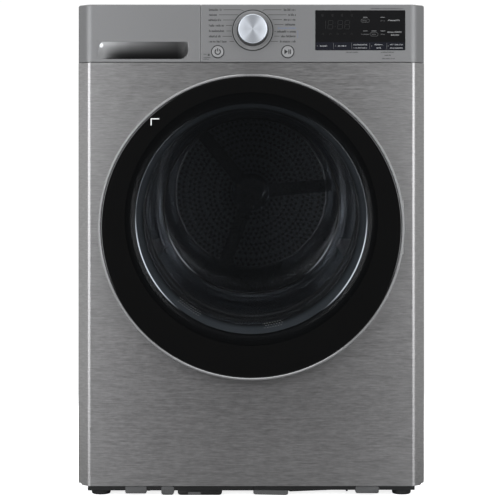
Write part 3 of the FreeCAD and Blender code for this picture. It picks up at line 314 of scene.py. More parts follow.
def mesh(name, verts, faces, mats, body, fmat=None, angle=35, fix=True):
    me = bpy.data.meshes.new(name)
    me.from_pydata([tuple(v) for v in verts], [], faces)
    ob = bpy.data.objects.new(name, me)
    S.collection.objects.link(ob)
    for m in (mats if isinstance(mats, (list, tuple)) else [mats]):
        me.materials.append(m)
    if fmat is not None:
        for p, i in zip(me.polygons, fmat):
            p.material_index = i
    if fix:
        bm = bmesh.new(); bm.from_mesh(me)
        bmesh.ops.recalc_face_normals(bm, faces=bm.faces)
        bm.to_mesh(me); bm.free()
    me.polygons.foreach_set("use_smooth", [True] * len(me.polygons))
    me.set_sharp_from_angle(angle=math.radians(angle))
    me.update()
    if body:
        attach(ob, body)
    return ob


def shade(ob, angle=35):
    me = ob.data
    me.polygons.foreach_set("use_smooth", [True] * len(me.polygons))
    me.set_sharp_from_angle(angle=math.radians(angle))


def loft(secs, segs=128, closed=False, a0=0.0, a1=2 * math.pi, mats=None):
    """Rings in XZ planes.  secs: (x, z, radius, y[, material index]).  closed joins the last ring to the first."""
    full = abs(a1 - a0) > 2 * math.pi - 1e-6
    n = segs if full else segs + 1
    verts, faces, fm = [], [], []
    for s in secs:
        x, z, r, y = s[:4]
        for k in range(n):
            a = a0 + (a1 - a0) * k / segs
            verts.append((x + r * math.cos(a), y, z + r * math.sin(a)))
    rows = len(secs)
    for i in range(rows if closed else rows - 1):
        j = (i + 1) % rows
        for k in range(segs):
            k2 = (k + 1) % n if full else k + 1
            faces.append((i * n + k, i * n + k2, j * n + k2, j * n + k))
            fm.append(secs[i][4] if len(secs[i]) > 4 else 0)
    if not full and closed:
        faces.append(tuple(i * n for i in range(rows)))
        faces.append(tuple(i * n + n - 1 for i in range(rows))[::-1])
        fm += [0, 0]
    return verts, faces, fm


def lathe(name, prof, cx, cz, mats, body, segs=128, slot=None, angle=35, closed=True, **kw):
    """prof: (radius, y[, material]) in mm, turned about the Y line through cx, cz (m)."""
    secs = [(cx, cz, p[0] * mm, p[1] * mm, *(p[2:3])) for p in prof]
    v, f, fm = loft(secs, segs, closed, **kw)
    return mesh(name, v, f, mats, body, fm, angle)


def join(name, obs):
    bpy.ops.object.select_all(action="DESELECT")
    for o in obs:
        o.select_set(True)
    bpy.context.view_layer.objects.active = obs[0]
    bpy.ops.object.join()
    obs[0].name = name
    obs[0].data.name = name
    return obs[0]


class Build:
    """Collects many small closed pieces into one mesh."""

    def __init__(self):
        self.v, self.f, self.m = [], [], []

    def add(self, verts, faces, mi=0):
        o = len(self.v)
        self.v += [tuple(p) for p in verts]
        self.f += [tuple(i + o for i in f) for f in faces]
        self.m += [mi] * len(faces)

    def prism(self, outline, y0, y1, mi=0, bevel=0.0):
        """outline: (x, z) loop in metres; from y0 (front) to y1 (back)."""
        n = len(outline)
        rings = []
        cx = sum(p[0] for p in outline) / n; cz = sum(p[1] for p in outline) / n
        if bevel:
            def shrink(k):
                out = []
                for x, z in outline:
                    d = math.hypot(x - cx, z - cz) or 1
                    s = max(0.0, 1 - k / d)
                    out.append((cx + (x - cx) * s, cz + (z - cz) * s))
                return out
            rings = [(shrink(bevel), y0), (shrink(bevel * 0.3), y0 + bevel * 0.3), (outline, y0 + bevel), (outline, y1)]
        else:
            rings = [(outline, y0), (outline, y1)]
        verts = [(x, y, z) for ring, y in rings for x, z in ring]
        faces = []
        for r in range(len(rings) - 1):
            for i in range(n):
                j = (i + 1) % n
                faces.append((r * n + i, r * n + j, (r + 1) * n + j, (r + 1) * n + i))
        faces.append(tuple(range(n))[::-1])
        faces.append(tuple((len(rings) - 1) * n + i for i in range(n)))
        self.add(verts, faces, mi)

    def rect(self, x0, x1, z0, z1, y0, y1, mi=0, r=0.0, bevel=0.0, seg=4):
        if r <= 0:
            pts = [(x0, z0), (x1, z0), (x1, z1), (x0, z1)]
        else:
            r = min(r, (x1 - x0) / 2 * 0.99, (z1 - z0) / 2 * 0.99)
            pts = []
            for cx, cz, a in ((x1 - r, z0 + r, -90), (x1 - r, z1 - r, 0), (x0 + r, z1 - r, 90), (x0 + r, z0 + r, 180)):
                for k in range(seg + 1):
                    t = math.radians(a + 90 * k / seg)
                    pts.append((cx + r * math.cos(t), cz + r * math.sin(t)))
        self.prism(pts, y0, y1, mi, bevel)

    def arc(self, cx, cz, r0, r1, a0, a1, y0, y1, mi=0, seg=24):
        """Flat ring sector from angle a0 to a1 in degrees."""
        full = abs(a1 - a0) >= 360
        n = seg if full else seg + 1
        v, f = [], []
        for y in (y0, y1):
            for r in (r0, r1):
                for k in range(n):
                    t = math.radians(a0 + (a1 - a0) * k / seg)
                    v.append((cx + r * math.cos(t), y, cz + r * math.sin(t)))
        A, B, C, E = 0, n, 2 * n, 3 * n
        for k in range(seg):
            j = (k + 1) % n if full else k + 1
            f += [(A + k, A + j, B + j, B + k), (C + k, E + k, E + j, C + j), (A + k, C + k, C + j, A + j), (B + k, B + j, E + j, E + k)]
        if not full:
            f += [(A, B, E, C), (A + seg, C + seg, E + seg, B + seg)]
        self.add(v, f, mi)

    def out(self, name, mats, body, slot=None, angle=35):
        return mesh(name, self.v, self.f, mats, body, self.m, angle)


# ---------------------------------------------------------------- CAD nodes that stay, with their materials
KEEP = {
    "right_side_panel": "cabinet", "left_side_panel": "cabinet", "front_panel": "front", "base_skirt": "black", "base_pan": "grey",
    "top_panel": "top", "rear_panel": "zinc", "rear_duct_cover": "zinc", "rear_panel_screws": "steel", "control_board": "board",
    "tank_body": "light", "tank_lid": "light", "tank_shelf": "grey", "front_bulkhead": "grey", "drum_front_felt": "felt",
    "rear_bearing_carrier": "zinc", "drum_shell": "drum", "drum_shaft": "steel", "right_drum_roller": "grey", "left_drum_roller": "grey",
    "roller_supports": "zinc", "motor_body": "alloy", "motor_shaft": "steel", "fan_impeller": "grey", "fan_housing": "grey", "drive_belt": "belt",
    "tension_pulley": "grey", "tension_arm": "zinc", "compressor": "enamel", "heat_exchanger_coils": "fins", "heat_exchanger_duct": "grey",
    "drain_pump": "black", "lint_filter_housing": "grey", "cable_inlet": "black", "drain_spigot": "grey",
    "door_hook": "steel", "door_catch": "black", "hinge_bracket": "steel", "hinge_pin": "steel", "hinge_leaf": "steel",
    "control_fascia": "fascia", "tank_front": "fascia", "power_button": "fascia", "start_button": "fascia", "lint_filter": "grey",
    "front_left_foot": "foot", "front_right_foot": "foot", "rear_left_foot": "foot", "rear_right_foot": "foot", "drum_lifters": "light",
    "drum_rear_wall": "drum", "drum_hub": "drum", "door_ring": "chrome", "door_lens": "lens", "door_bowl": "bowl", "door_seal": "rubber",
    "door_inner_frame": "door_black", "display_glass": "display", "control_trim_rings": "chrome", "programme_knob": "knob_side",
}


def drum_material():
    """Satin stainless, brushed along Y."""
    m = brushed("drum_steel", grey(150, (0.93, 1.0, 1.09)), (0.24, 0.36), "y", 900.0, 0.05, 1.0, 0.15)
    return m


M["drum"] = drum_material()
for name, key in KEEP.items():
    ob = N[name]
    ob.data.materials.clear()
    ob.data.materials.append(M[key])
M["bowl_edge"] = brushed("bowl_edge", grey(180, (0.95, 1.0, 1.05)), (0.08, 0.14), "y", 400.0, 0.05, 0.9, 0.05)
M["collar"] = speckled("door_collar", grey(44, (0.95, 1.0, 1.05)), 0.2, (0.22, 0.34), 700.0, 0.06, 0.15, 0.00003)
M["knob_rim"] = speckled("knob_rim", (0.52, 0.55, 0.59), 0.9, (0.48, 0.56), 2500.0, 0.03, 0.05, 0.00001)
M["key"] = speckled("key_cap", grey(136), 0.70, (0.48, 0.54), 3500.0, 0.02, 0.10)
M["ink_dark"] = speckled("ink_black", grey(9), 0.0, (0.5, 0.6), 800.0, 0.08, 0.05, 0.00001)


def grip_painted_shade(name, base, x_of, z_of):
    """The face's own silver with painted shade: darker with depth below the lip and away from the shallow end, where a
    deep smooth scoop falls into shade.
    """
    m = material(name, base, 0.70, 0.48)
    nt, b = nodes_of(m)
    tc = nt.nodes.new("ShaderNodeTexCoord")
    sp = nt.nodes.new("ShaderNodeSeparateXYZ")
    nt.links.new(tc.outputs["Object"], sp.inputs[0])

    def ramp(axis, f0, f1, stops):
        r = nt.nodes.new("ShaderNodeMapRange")
        r.inputs["From Min"].default_value = f0
        r.inputs["From Max"].default_value = f1
        nt.links.new(sp.outputs[axis], r.inputs["Value"])
        c = nt.nodes.new("ShaderNodeValToRGB")
        e = c.color_ramp.elements
        for i, (t, v) in enumerate(stops):
            k = e[i] if i < 2 else e.new(t)
            k.position = t
            k.color = (v, v, v, 1)
        nt.links.new(r.outputs["Result"], c.inputs["Fac"])
        return c.outputs["Color"]

    x0, x1 = x_of(94), x_of(190)
    # painted light and shade: top sets the tone across the scoop under the lip, low along its bottom, and way blends
    # from one to the other downwards
    top = ramp("X", x0, x1, [(0.0, 0.243), (1.0, 0.17), (0.03, 0.28), (0.10, 0.42), (0.22, 0.40), (0.30, 0.33), (0.38, 0.24), (0.54, 0.155), (0.70, 0.105), (0.86, 0.062), (0.93, 0.09)])
    low = ramp("X", x0, x1, [(0.0, 0.235), (1.0, 0.22), (0.06, 0.20), (0.10, 0.15), (0.14, 0.085), (0.18, 0.05), (0.26, 0.026), (0.38, 0.017), (0.86, 0.017), (0.90, 0.05), (0.95, 0.17)])
    way = ramp("Z", z_of(44.0), z_of(57.5), [(0.0, 0.0), (1.0, 1.0), (0.25, 0.38), (0.5, 0.68), (0.75, 0.92)])
    field = mix_color(nt, way, (0, 0, 0, 1), (0, 0, 0, 1))
    node = field.node
    nt.links.new(top, node.inputs["A"] if "A" in node.inputs else node.inputs["Color1"])
    nt.links.new(low, node.inputs["B"] if "B" in node.inputs else node.inputs["Color2"])
    # painted highlight where the shallow end turns under the lip
    sub = nt.nodes.new("ShaderNodeVectorMath"); sub.operation = "SUBTRACT"; sub.inputs[1].default_value = (x_of(101.2), 0, z_of(45.2))
    flat = nt.nodes.new("ShaderNodeVectorMath"); flat.operation = "MULTIPLY"; flat.inputs[1].default_value = (1 / 0.0042, 0, 1 / 0.0052)
    ln = nt.nodes.new("ShaderNodeVectorMath"); ln.operation = "LENGTH"
    nt.links.new(tc.outputs["Object"], sub.inputs[0]); nt.links.new(sub.outputs[0], flat.inputs[0]); nt.links.new(flat.outputs[0], ln.inputs[0])
    painted_glint = remap(nt, ln.outputs["Value"], 1.0, 0.0, 0.45, 1.0)
    painted_light = mix_color(nt, painted_glint, (0, 0, 0, 1), (0.95, 0.96, 0.97, 1))
    nt.links.new(field, painted_light.node.inputs["A"] if "A" in painted_light.node.inputs else painted_light.node.inputs["Color1"])
    gain = nt.nodes.new("ShaderNodeVectorMath"); gain.operation = "SCALE"; gain.inputs["Scale"].default_value = GRIP_GAIN
    nt.links.new(painted_light, gain.inputs[0])
    nt.links.new(gain.outputs[0], b.inputs["Base Color"])
    n = noise(nt, coords(nt, (1, 1, 1)), 3500.0, 2.0)
    nt.links.new(remap(nt, n, 0.44, 0.52), b.inputs["Roughness"])
    return m


GRIP_GAIN = 0.95
M["drum_disc"] = speckled("drum_disc_steel", grey(206, (0.93, 1.0, 1.08)), 0.45, (0.45, 0.55), 700.0, 0.04, 0.15)
M["skirt"] = speckled("skirt_black", grey(13, (1.0, 0.99, 0.97)), 0.0, (0.32, 0.45), 1600.0, 0.10, 0.35, 0.00008)
M["bar"] = brushed("link_bar", grey(130, (0.93, 1.0, 1.08)), (0.25, 0.35), "x", 500.0, 0.05, 1.0, 0.1)


def front_sheet(name, color):
    """Brushed stainless sheet: short level streaks at three sizes, with painted light: the side facets lighter (the
    left more than the right) and a painted shade dimming the bend into each facet.
    """
    m = material(name, color, 0.95, 0.38)
    nt, b = nodes_of(m)
    n1 = noise(nt, coords(nt, (52, 150, 520)), 1.0, 2.0)
    n2 = noise(nt, coords(nt, (24, 300, 1100)), 1.0, 3.0)
    n3 = noise(nt, coords(nt, (120, 300, 700)), 1.0, 2.0)
    mix = add(nt, add(nt, n1, n2, 0.6, 0.4), n3, 0.68, 0.32)
    c = np.array(color[:3])
    tone = mix_color(nt, remap(nt, mix, 0, 1, 0.36, 0.64), (*(c * 0.85), 1), (*(c * 1.15), 1))
    tc = nt.nodes.new("ShaderNodeTexCoord")
    sp = nt.nodes.new("ShaderNodeSeparateXYZ")
    nt.links.new(tc.outputs["Object"], sp.inputs[0])
    ax = nt.nodes.new("ShaderNodeMath"); ax.operation = "ABSOLUTE"
    nt.links.new(sp.outputs["X"], ax.inputs[0])
    # painted light: the facets past the bend are lifted, the left more than the right
    side = remap(nt, sp.outputs["X"], 1.19, 1.01, -0.01, 0.01)
    gate = remap(nt, ax.outputs[0], 0.0, 1.0, 0.2826, 0.2840)
    facet_painted_light = nt.nodes.new("ShaderNodeMix"); facet_painted_light.data_type = "FLOAT"
    facet_painted_light.inputs["A"].default_value = 1.0
    nt.links.new(side, facet_painted_light.inputs["B"]); nt.links.new(gate, facet_painted_light.inputs["Factor"])
    # painted shade: darker along the bend into each facet
    off = nt.nodes.new("ShaderNodeMath"); off.operation = "SUBTRACT"; off.inputs[1].default_value = 0.2805
    nt.links.new(ax.outputs[0], off.inputs[0])
    ab = nt.nodes.new("ShaderNodeMath"); ab.operation = "ABSOLUTE"
    nt.links.new(off.outputs[0], ab.inputs[0])
    bend = remap(nt, ab.outputs[0], 0.88, 1.0, 0.0012, 0.0034)
    painted_light = nt.nodes.new("ShaderNodeMath"); painted_light.operation = "MULTIPLY"
    nt.links.new(facet_painted_light.outputs["Result"], painted_light.inputs[0]); nt.links.new(bend, painted_light.inputs[1])
    sc = nt.nodes.new("ShaderNodeVectorMath"); sc.operation = "SCALE"
    nt.links.new(tone, sc.inputs[0]); nt.links.new(painted_light.outputs[0], sc.inputs["Scale"])
    nt.links.new(sc.outputs[0], b.inputs["Base Color"])
    nt.links.new(remap(nt, mix, 0.34, 0.44, 0.36, 0.64), b.inputs["Roughness"])
    bump(nt, n2, b, 0.12, 0.00003)
    b.inputs["Anisotropic"].default_value = 0.65
    b.inputs["Anisotropic Rotation"].default_value = 0.25
    return m


M["front"] = front_sheet("brushed_front_sheet", grey(154, (1.01, 0.995, 0.985)))
N["front_panel"].data.materials[0] = M["front"]
M["ring"] = speckled("knob_ring_silver", grey(124), 0.70, (0.48, 0.54), 3500.0, 0.02, 0.10)

# ---------------------------------------------------------------- control fascia and tank front
FY = -0.318                      # the flat of the fascia
MMPX = 1.7278


def px(x):
    """Fascia position in m from a column measured on the picture."""
    return (x - 251.3) * MMPX * mm


def pz(y):
    return 0.850 - (y - 4.3) * MMPX * mm


def smooth(t):
    t = max(0.0, min(1.0, t))
    return t * t * (3 - 2 * t)


FX, FDX, FDY = 0.2815, 0.0185, 0.0135


def facet(x):
    """How far the face has fallen back at x: flat, a soft bend, then the facet."""
    ang = math.atan2(FDY, FDX)
    R = 0.020
    tl = R * math.tan(ang / 2)
    u = abs(x) - FX
    if u <= -tl:
        return 0.0
    if u < tl * math.cos(ang):
        s = min(1.0, (u + tl) / R / math.sin(ang))
        return R - math.sqrt(max(0.0, R * R - (u + tl) ** 2))
    return u * math.tan(ang)


def shell_panel(name, x0, x1, z0, z1, depth_fn, mats, body, xs, zs, corner=None, back=-0.3006, edge=0.0009, replaced=(), matfn=None):
    """A closed moulding on a grid: front sheet, rolled edges, walls, and a back that keeps clear of the scoop.
    depth_fn(x, z) is how far the front lies behind the flat.  corner: 'l' or 'r' rounds that top corner."""
    xs = sorted(set([x0, x0 + edge * 0.3, x0 + edge, x0 + edge + 0.0003, x1 - edge - 0.0003, x1 - edge, x1 - edge * 0.3, x1] + [x for x in xs if x0 + edge + 0.0003 < x < x1 - edge - 0.0003]))
    zs = sorted(set([z0, z0 + edge * 0.3, z0 + edge, z0 + edge + 0.0003, z1 - 0.0040, z1 - 0.0030, z1 - 0.0020, z1 - 0.0011, z1 - 0.0004, z1] + [z for z in zs if z0 + edge + 0.0003 < z < z1 - 0.0040]))

    def rolled(d, r):
        d = max(0.0, min(r, d))
        return r - math.sqrt(max(0.0, r * r - (r - d) ** 2))

    verts, idx, idb = [], {}, {}
    nx, nz = len(xs), len(zs)
    for j, z in enumerate(zs):
        for i, x in enumerate(xs):
            d = depth_fn(x, z)
            y = FY + facet(x) + d + rolled(x - x0, edge) + rolled(x1 - x, edge) + rolled(z - z0, edge) + rolled(z1 - z, 0.0022)
            xx = x
            k = max(0.0, (z - (z1 - 0.004)) / 0.004)
            pull = 0.004 - math.sqrt(max(0.0, 0.004 ** 2 - (0.004 * k) ** 2))
            if corner == "r":
                xx = x - pull * smooth((x - (x1 - 0.03)) / 0.03)
            if corner == "l":
                xx = x + pull * smooth((x0 + 0.03 - x) / 0.03)
            idx[i, j] = len(verts)
            verts.append((xx, y, z))
            yb = -0.3024 if abs(x) > 0.2955 else back
            idb[i, j] = len(verts)
            verts.append((xx, max(yb, FY + facet(x) + d + 0.002), z))
    faces, fm = [], []
    for j in range(nz - 1):
        for i in range(nx - 1):
            fm += [matfn((xs[i] + xs[i + 1]) / 2, (zs[j] + zs[j + 1]) / 2) if matfn else 0, 0]
            faces.append((idx[i, j], idx[i + 1, j], idx[i + 1, j + 1], idx[i, j + 1]))
            faces.append((idb[i, j], idb[i, j + 1], idb[i + 1, j + 1], idb[i + 1, j]))
    loop = [(i, 0) for i in range(nx)] + [(nx - 1, j) for j in range(1, nz)] + [(i, nz - 1) for i in range(nx - 2, -1, -1)] + [(0, j) for j in range(nz - 2, 0, -1)]
    m = len(loop)
    for k in range(m):
        p, q = loop[k], loop[(k + 1) % m]
        faces.append((idx[q], idx[p], idb[p], idb[q])); fm.append(0)
    ob = mesh(name, verts, faces, mats, body, fm, 40)
    for r in replaced:
        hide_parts(r)
    return ob


def lin(a, b, step):
    n = max(1, int(round((b - a) / step)))
    return [a + (b - a) * k / n for k in range(n + 1)]


# the scoop's colour carries painted shade and a painted highlight
M["grip"] = grip_painted_shade("grip_scoop", grey(126), px, pz)

# tank front with its finger pull: a scoop that fades into the face on the left and has a steep round right end
GZ1 = 0.7852                      # upper lip
GX0, GX1 = px(94.5), px(188.3)


def grip_bottom(x):
    """Lower edge of the scoop."""
    zb = pz(59.2)
    r = 0.015
    d = GX1 - x
    if d < r:
        zb += r - math.sqrt(max(0.0, r * r - (r - d) ** 2))
    return zb


def grip_depth(x, z):
    """Deepest along the bottom, easing out to the lip above and to nothing at the left."""
    if z > GZ1 or x < GX0 or x > GX1:
        return 0.0
    zb = grip_bottom(x)
    if z <= zb:
        return 0.0
    t = (z - zb) / max(1e-4, GZ1 - zb)
    rise = smooth((z - zb) / 0.0034)
    lx = smooth((x - GX0) / 0.052) ** 1.2
    rx = smooth((GX1 - x) / 0.0045)
    return 0.0190 * lx * rx * rise * (0.10 + 0.90 * (1 - min(1, t)) ** 1.25)


FACET_X = lin(0.262, 0.2995, 0.0015)
gx = lin(GX0, GX0 + 0.060, 0.0014) + lin(GX0 + 0.060, GX1 - 0.022, 0.0024) + lin(GX1 - 0.022, GX1, 0.0006) + [-v for v in FACET_X] + [-0.094, -0.0915, GX1 + 0.0003]
gz = [0.752, 0.754] + lin(pz(59.2) - 0.0006, pz(59.2) + 0.006, 0.0004) + lin(pz(59.2) + 0.0066, GZ1 - 0.0004, 0.0009) + [GZ1, GZ1 + 0.00005, 0.79, 0.81, 0.83]
tank = shell_panel("tank_drawer_front", -0.2998, -0.08755, 0.7500, 0.8500, grip_depth, [M["fascia"], M["grip"]], "tank", gx, gz, "l", replaced=["tank_front"],
                   matfn=lambda x, z: 1 if grip_depth(x, z) > 0.0002 else 0)
lb = Build()
lb.rect(-0.284, -0.150, 0.7635, 0.8145, -0.3012, -0.2876, 0, 0.003)
lb.out("tank_front_link", [M["light"]], "tank", "light_plastic")
KEYS_XZ = [(-0.058, 0.768), (0.063, 0.768)]


def key_wells(x, z):
    for kx, kz in KEYS_XZ:
        if math.hypot(x - kx, z - kz) < 0.0114:
            return 0.0102
    if math.hypot(x - KX, z - KZ) < 0.0078:
        return 0.0145
    return 0.0


fx = lin(-0.08, 0.26, 0.02) + FACET_X
fz = lin(0.79, 0.845, 0.02)
for kx, kz in KEYS_XZ:
    fx += lin(kx - 0.0132, kx + 0.0132, 0.0008)
    fz += lin(kz - 0.0132, kz + 0.0132, 0.0008)
fx += lin(KX - 0.0084, KX + 0.0084, 0.0012)
fz += lin(KZ - 0.0084, KZ + 0.0084, 0.0012)
fz = sorted(set(round(v, 6) for v in fz))
fascia = shell_panel("control_fascia_moulding", -0.08685, 0.2998, 0.7500, 0.8500, key_wells, [M["fascia"]], "cabinet", fx, fz, "r", replaced=["control_fascia"])

# ---------------------------------------------------------------- door


def capped(name, secs, mats, body, segs=160, angle=35, cap_mats=(0, 0)):
    """A loft whose first and last rings are filled."""
    v, f, fm = loft(secs, segs, False)
    n = segs
    f.append(tuple(range(n))[::-1]); fm.append(cap_mats[0])
    last = (len(secs) - 1) * n
    f.append(tuple(last + k for k in range(n))); fm.append(cap_mats[1])
    return mesh(name, v, f, mats, body, fm, angle)


def sec(z, r, y, m=0):
    return (0.0, z * mm, r * mm, y * mm, m)


# one glazed pane: black printed border (not concentric with the door) and a smoked window
secs = [sec(479, 60, -338.6, 1), sec(479, 216.8, -338.6, 0), sec(465, 257.4, -338.6), sec(465, 258.0, -339.2), sec(465, 258.0, -342.3),
        sec(465, 257.7, -342.9), sec(465, 257.1, -343.35), sec(465, 256.4, -343.55), sec(465, 256.0, -343.58), sec(470, 242.0, -343.9), sec(479, 216.8, -344.1, 1), sec(479, 140, -344.4, 1), sec(479, 60, -344.55, 1)]
pane = capped("door_glass", secs, [M["lens_band"], M["lens"]], "door", 192, 20, (1, 1))
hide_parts("door_lens")

# bowl: stepped glass, its centre climbing as it goes back
def bowl_z(y):
    t = (y + 335.0) / 108.0
    return 479.0 + 21.8 * max(0.0, min(1.12, t))


# drum side of the glass, from the rim to the middle
drum_side = [(213.1, -333.0), (212.5, -332.5), (204.0, -331.8), (200.0, -329.0), (197.0, -324.0), (194.2, -317.0), (190.4, -309.0), (188.2, -306.5), (186.8, -298.0),
             (184.0, -295.5), (182.4, -284.0), (179.6, -281.5), (176.4, -266.0), (173.2, -250.0), (169.4, -244.0), (166.0, -233.0), (163.6, -225.6), (161.0, -219.0), (156.0, -215.4), (60.0, -215.0)]
# user's side: a wide rounded flare, a crisp edge, then shallow steps down to the flat end
user_side = [(60.0, -218.8), (150.0, -218.9), (155.0, -219.8), (158.0, -222.4), (159.6, -227.0), (161.4, -236.0), (164.6, -247.0), (165.4, -248.4), (168.2, -249.4), (169.4, -252.0), (172.6, -268.0),
             (175.6, -284.2), (176.2, -285.6), (178.0, -286.6), (178.8, -289.0), (180.0, -298.2), (180.6, -299.6), (182.6, -300.4), (183.4, -303.0), (184.6, -309.8), (185.2, -311.2),
             (187.2, -312.2, 2), (188.6, -315.0, 2), (191.4, -320.6, 2), (194.4, -326.4, 2), (197.2, -330.8, 2), (198.2, -332.4, 1), (199.6, -333.2, 1), (202.8, -335.3, 1), (206.0, -336.6, 1), (209.5, -337.5, 1), (213.0, -337.9, 1),
             (216.4, -338.0), (216.4, -337.2), (213.1, -335.6)]
allsecs = []
for p_ in user_side:
    zc = bowl_z(p_[1]) if p_[0] < 200 else 479.0 - max(0.0, p_[0] - 209.0) * (0.0)
    allsecs.append(sec(zc, p_[0], p_[1], p_[2] if len(p_) > 2 else 0))
for r, y in drum_side:
    zc = 469.0 if r > 205 else (bowl_z(y) - (0 if r < 200 else 4))
    allsecs.append(sec(zc, r if r <= 205 else r - 9.0, y))
bowl = capped("door_bowl_glass", allsecs, [M["bowl"], M["flare"], M["mouth"]], "door", 176, 14)
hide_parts("door_bowl")

# thin edge where the flare turns into the wall, with painted highlights
zc_ = bowl_z(-332.4) * mm


def painted_glint_edge(name, base, glint_color, cz, centre, half, soft, painted_glow=1.0):
    """An edge with painted highlights: a lighter colour and an emission painted over angular spans low on each side,
    quiet elsewhere.
    """
    m = material(name, base, 0.6, 0.22)
    nt, b = nodes_of(m)
    tc = nt.nodes.new("ShaderNodeTexCoord")
    sub = nt.nodes.new("ShaderNodeVectorMath"); sub.operation = "SUBTRACT"; sub.inputs[1].default_value = (0, 0, cz)
    sp = nt.nodes.new("ShaderNodeSeparateXYZ")
    nt.links.new(tc.outputs["Object"], sub.inputs[0]); nt.links.new(sub.outputs[0], sp.inputs[0])
    ax = nt.nodes.new("ShaderNodeMath"); ax.operation = "ABSOLUTE"
    nt.links.new(sp.outputs["X"], ax.inputs[0])
    an = nt.nodes.new("ShaderNodeMath"); an.operation = "ARCTAN2"
    nt.links.new(sp.outputs["Z"], an.inputs[0]); nt.links.new(ax.outputs[0], an.inputs[1])
    off = nt.nodes.new("ShaderNodeMath"); off.operation = "SUBTRACT"; off.inputs[1].default_value = math.radians(centre)
    nt.links.new(an.outputs[0], off.inputs[0])
    ab = nt.nodes.new("ShaderNodeMath"); ab.operation = "ABSOLUTE"
    nt.links.new(off.outputs[0], ab.inputs[0])
    painted_glint_mask = remap(nt, ab.outputs[0], 1.0, 0.0, math.radians(max(0.0, half - soft)), math.radians(half))
    painted_glint_mask.node.interpolation_type = "SMOOTHSTEP"
    wide_ = nt.nodes.new("ShaderNodeMath"); wide_.operation = "SUBTRACT"; wide_.inputs[1].default_value = math.radians(6.0)
    nt.links.new(an.outputs[0], wide_.inputs[0])
    wab = nt.nodes.new("ShaderNodeMath"); wab.operation = "ABSOLUTE"
    nt.links.new(wide_.outputs[0], wab.inputs[0])
    # painted light: lighter colour over a wide span about the middle of each side
    wide = remap(nt, wab.outputs[0], 1.0, 0.0, math.radians(38.0), math.radians(56.0))
    nt.links.new(mix_color(nt, wide, base, glint_color), b.inputs["Base Color"])
    # painted highlight: the edge emits light over the spans where it should catch the lamps
    nt.links.new(remap(nt, painted_glint_mask, 0.0, painted_glow, 0.0, 1.0), b.inputs["Emission Strength"])
    b.inputs["Emission Color"].default_value = (0.55, 0.60, 0.66, 1)
    n = noise(nt, coords(nt, (1, 1, 1)), 300.0, 2.0)
    nt.links.new(remap(nt, n, 0.18, 0.28), b.inputs["Roughness"])
    return m


# painted highlights on the two bowl edges
M["bowl_edge"] = painted_glint_edge("bowl_edge", grey(26, (0.9, 1.0, 1.12)), grey(190, (0.92, 1.0, 1.08)), zc_, -24.0, 30.0, 22.0, 3.0)
M["end_edge"] = painted_glint_edge("bowl_end_edge", grey(30, (0.9, 1.0, 1.12)), grey(90), bowl_z(-221.0) * mm, -34.0, 20.0, 16.0, 0.8)
lathe("bowl_edge_trim", [(198.8 + 1.05 * math.cos(t), -333.8 + 1.05 * math.sin(t)) for t in [k * math.pi / 10 for k in range(20)]], 0.0, zc_, [M["bowl_edge"]], "door", 192, "bowl_glass", 60)

lathe("bowl_end_edge_trim", [(156.6 + 1.2 * math.cos(t), -222.6 + 1.2 * math.sin(t)) for t in [k * math.pi / 8 for k in range(16)]], 0.0, bowl_z(-221.6) * mm, [M["end_edge"]], "door", 160, "bowl_glass", 60)


def dot_patch(name, groups, rows, mat):
    """Small printed dots on the glass wall just inside its mouth."""
    v, f = [], []
    for a0, a1, cols in groups:
        for ri, (r, y) in enumerate(rows):
            for c in range(cols):
                a = math.radians(a0 + (a1 - a0) * (c + 0.5 * (ri % 2)) / cols)
                zc = bowl_z(y)
                ca, sa = math.cos(a), math.sin(a)
                nr, ny = -0.894, -0.447
                base = len(v)
                for off, rad in ((-0.25, 1.05), (0.10, 1.05), (0.22, 0.60)):
                    for k in range(8):
                        t = k * math.pi / 4
                        along, across = rad * math.cos(t), rad * math.sin(t)
                        rr = r + nr * off + 0.447 * along
                        yy = y + ny * off - 0.894 * along
                        x, z = rr * ca - across * sa, rr * sa + across * ca
                        v.append((x * mm, yy * mm, (zc + z) * mm))
                for q in range(2):
                    for k in range(8):
                        m_ = (k + 1) % 8
                        f.append((base + q * 8 + k, base + q * 8 + m_, base + (q + 1) * 8 + m_, base + (q + 1) * 8 + k))
                f.append(tuple(base + k for k in range(8))[::-1])
                f.append(tuple(base + 16 + k for k in range(8)))
    return mesh(name, v, f, [mat], "door", None, 40)


M["dots"] = speckled("bowl_dots", grey(225), 0.0, (0.3, 0.4), 900.0, 0.05, 0.05, 0.00001)
dot_patch("bowl_printed_dots", ((229.0, 243.0, 10), (277.0, 287.0, 7)), ((186.9, -312.3), (189.3, -317.0), (191.7, -321.8)), M["dots"])

# ---------------------------------------------------------------- programme knob, trim rings, keys
KXm, KZm = KX, KZ


def turned_cap(name, prof, cx, cz, mats, body, segs=128, angle=25, cap_mats=(0, 0)):
    v, f, fm = loft([(cx, cz, p[0] * mm, p[1] * mm, *(p[2:3])) for p in prof], segs, False)
    f.append(tuple(range(segs))[::-1]); fm.append(cap_mats[0])
    last = (len(prof) - 1) * segs
    f.append(tuple(last + k for k in range(segs))); fm.append(cap_mats[1])
    return mesh(name, v, f, mats, body, fm, angle)


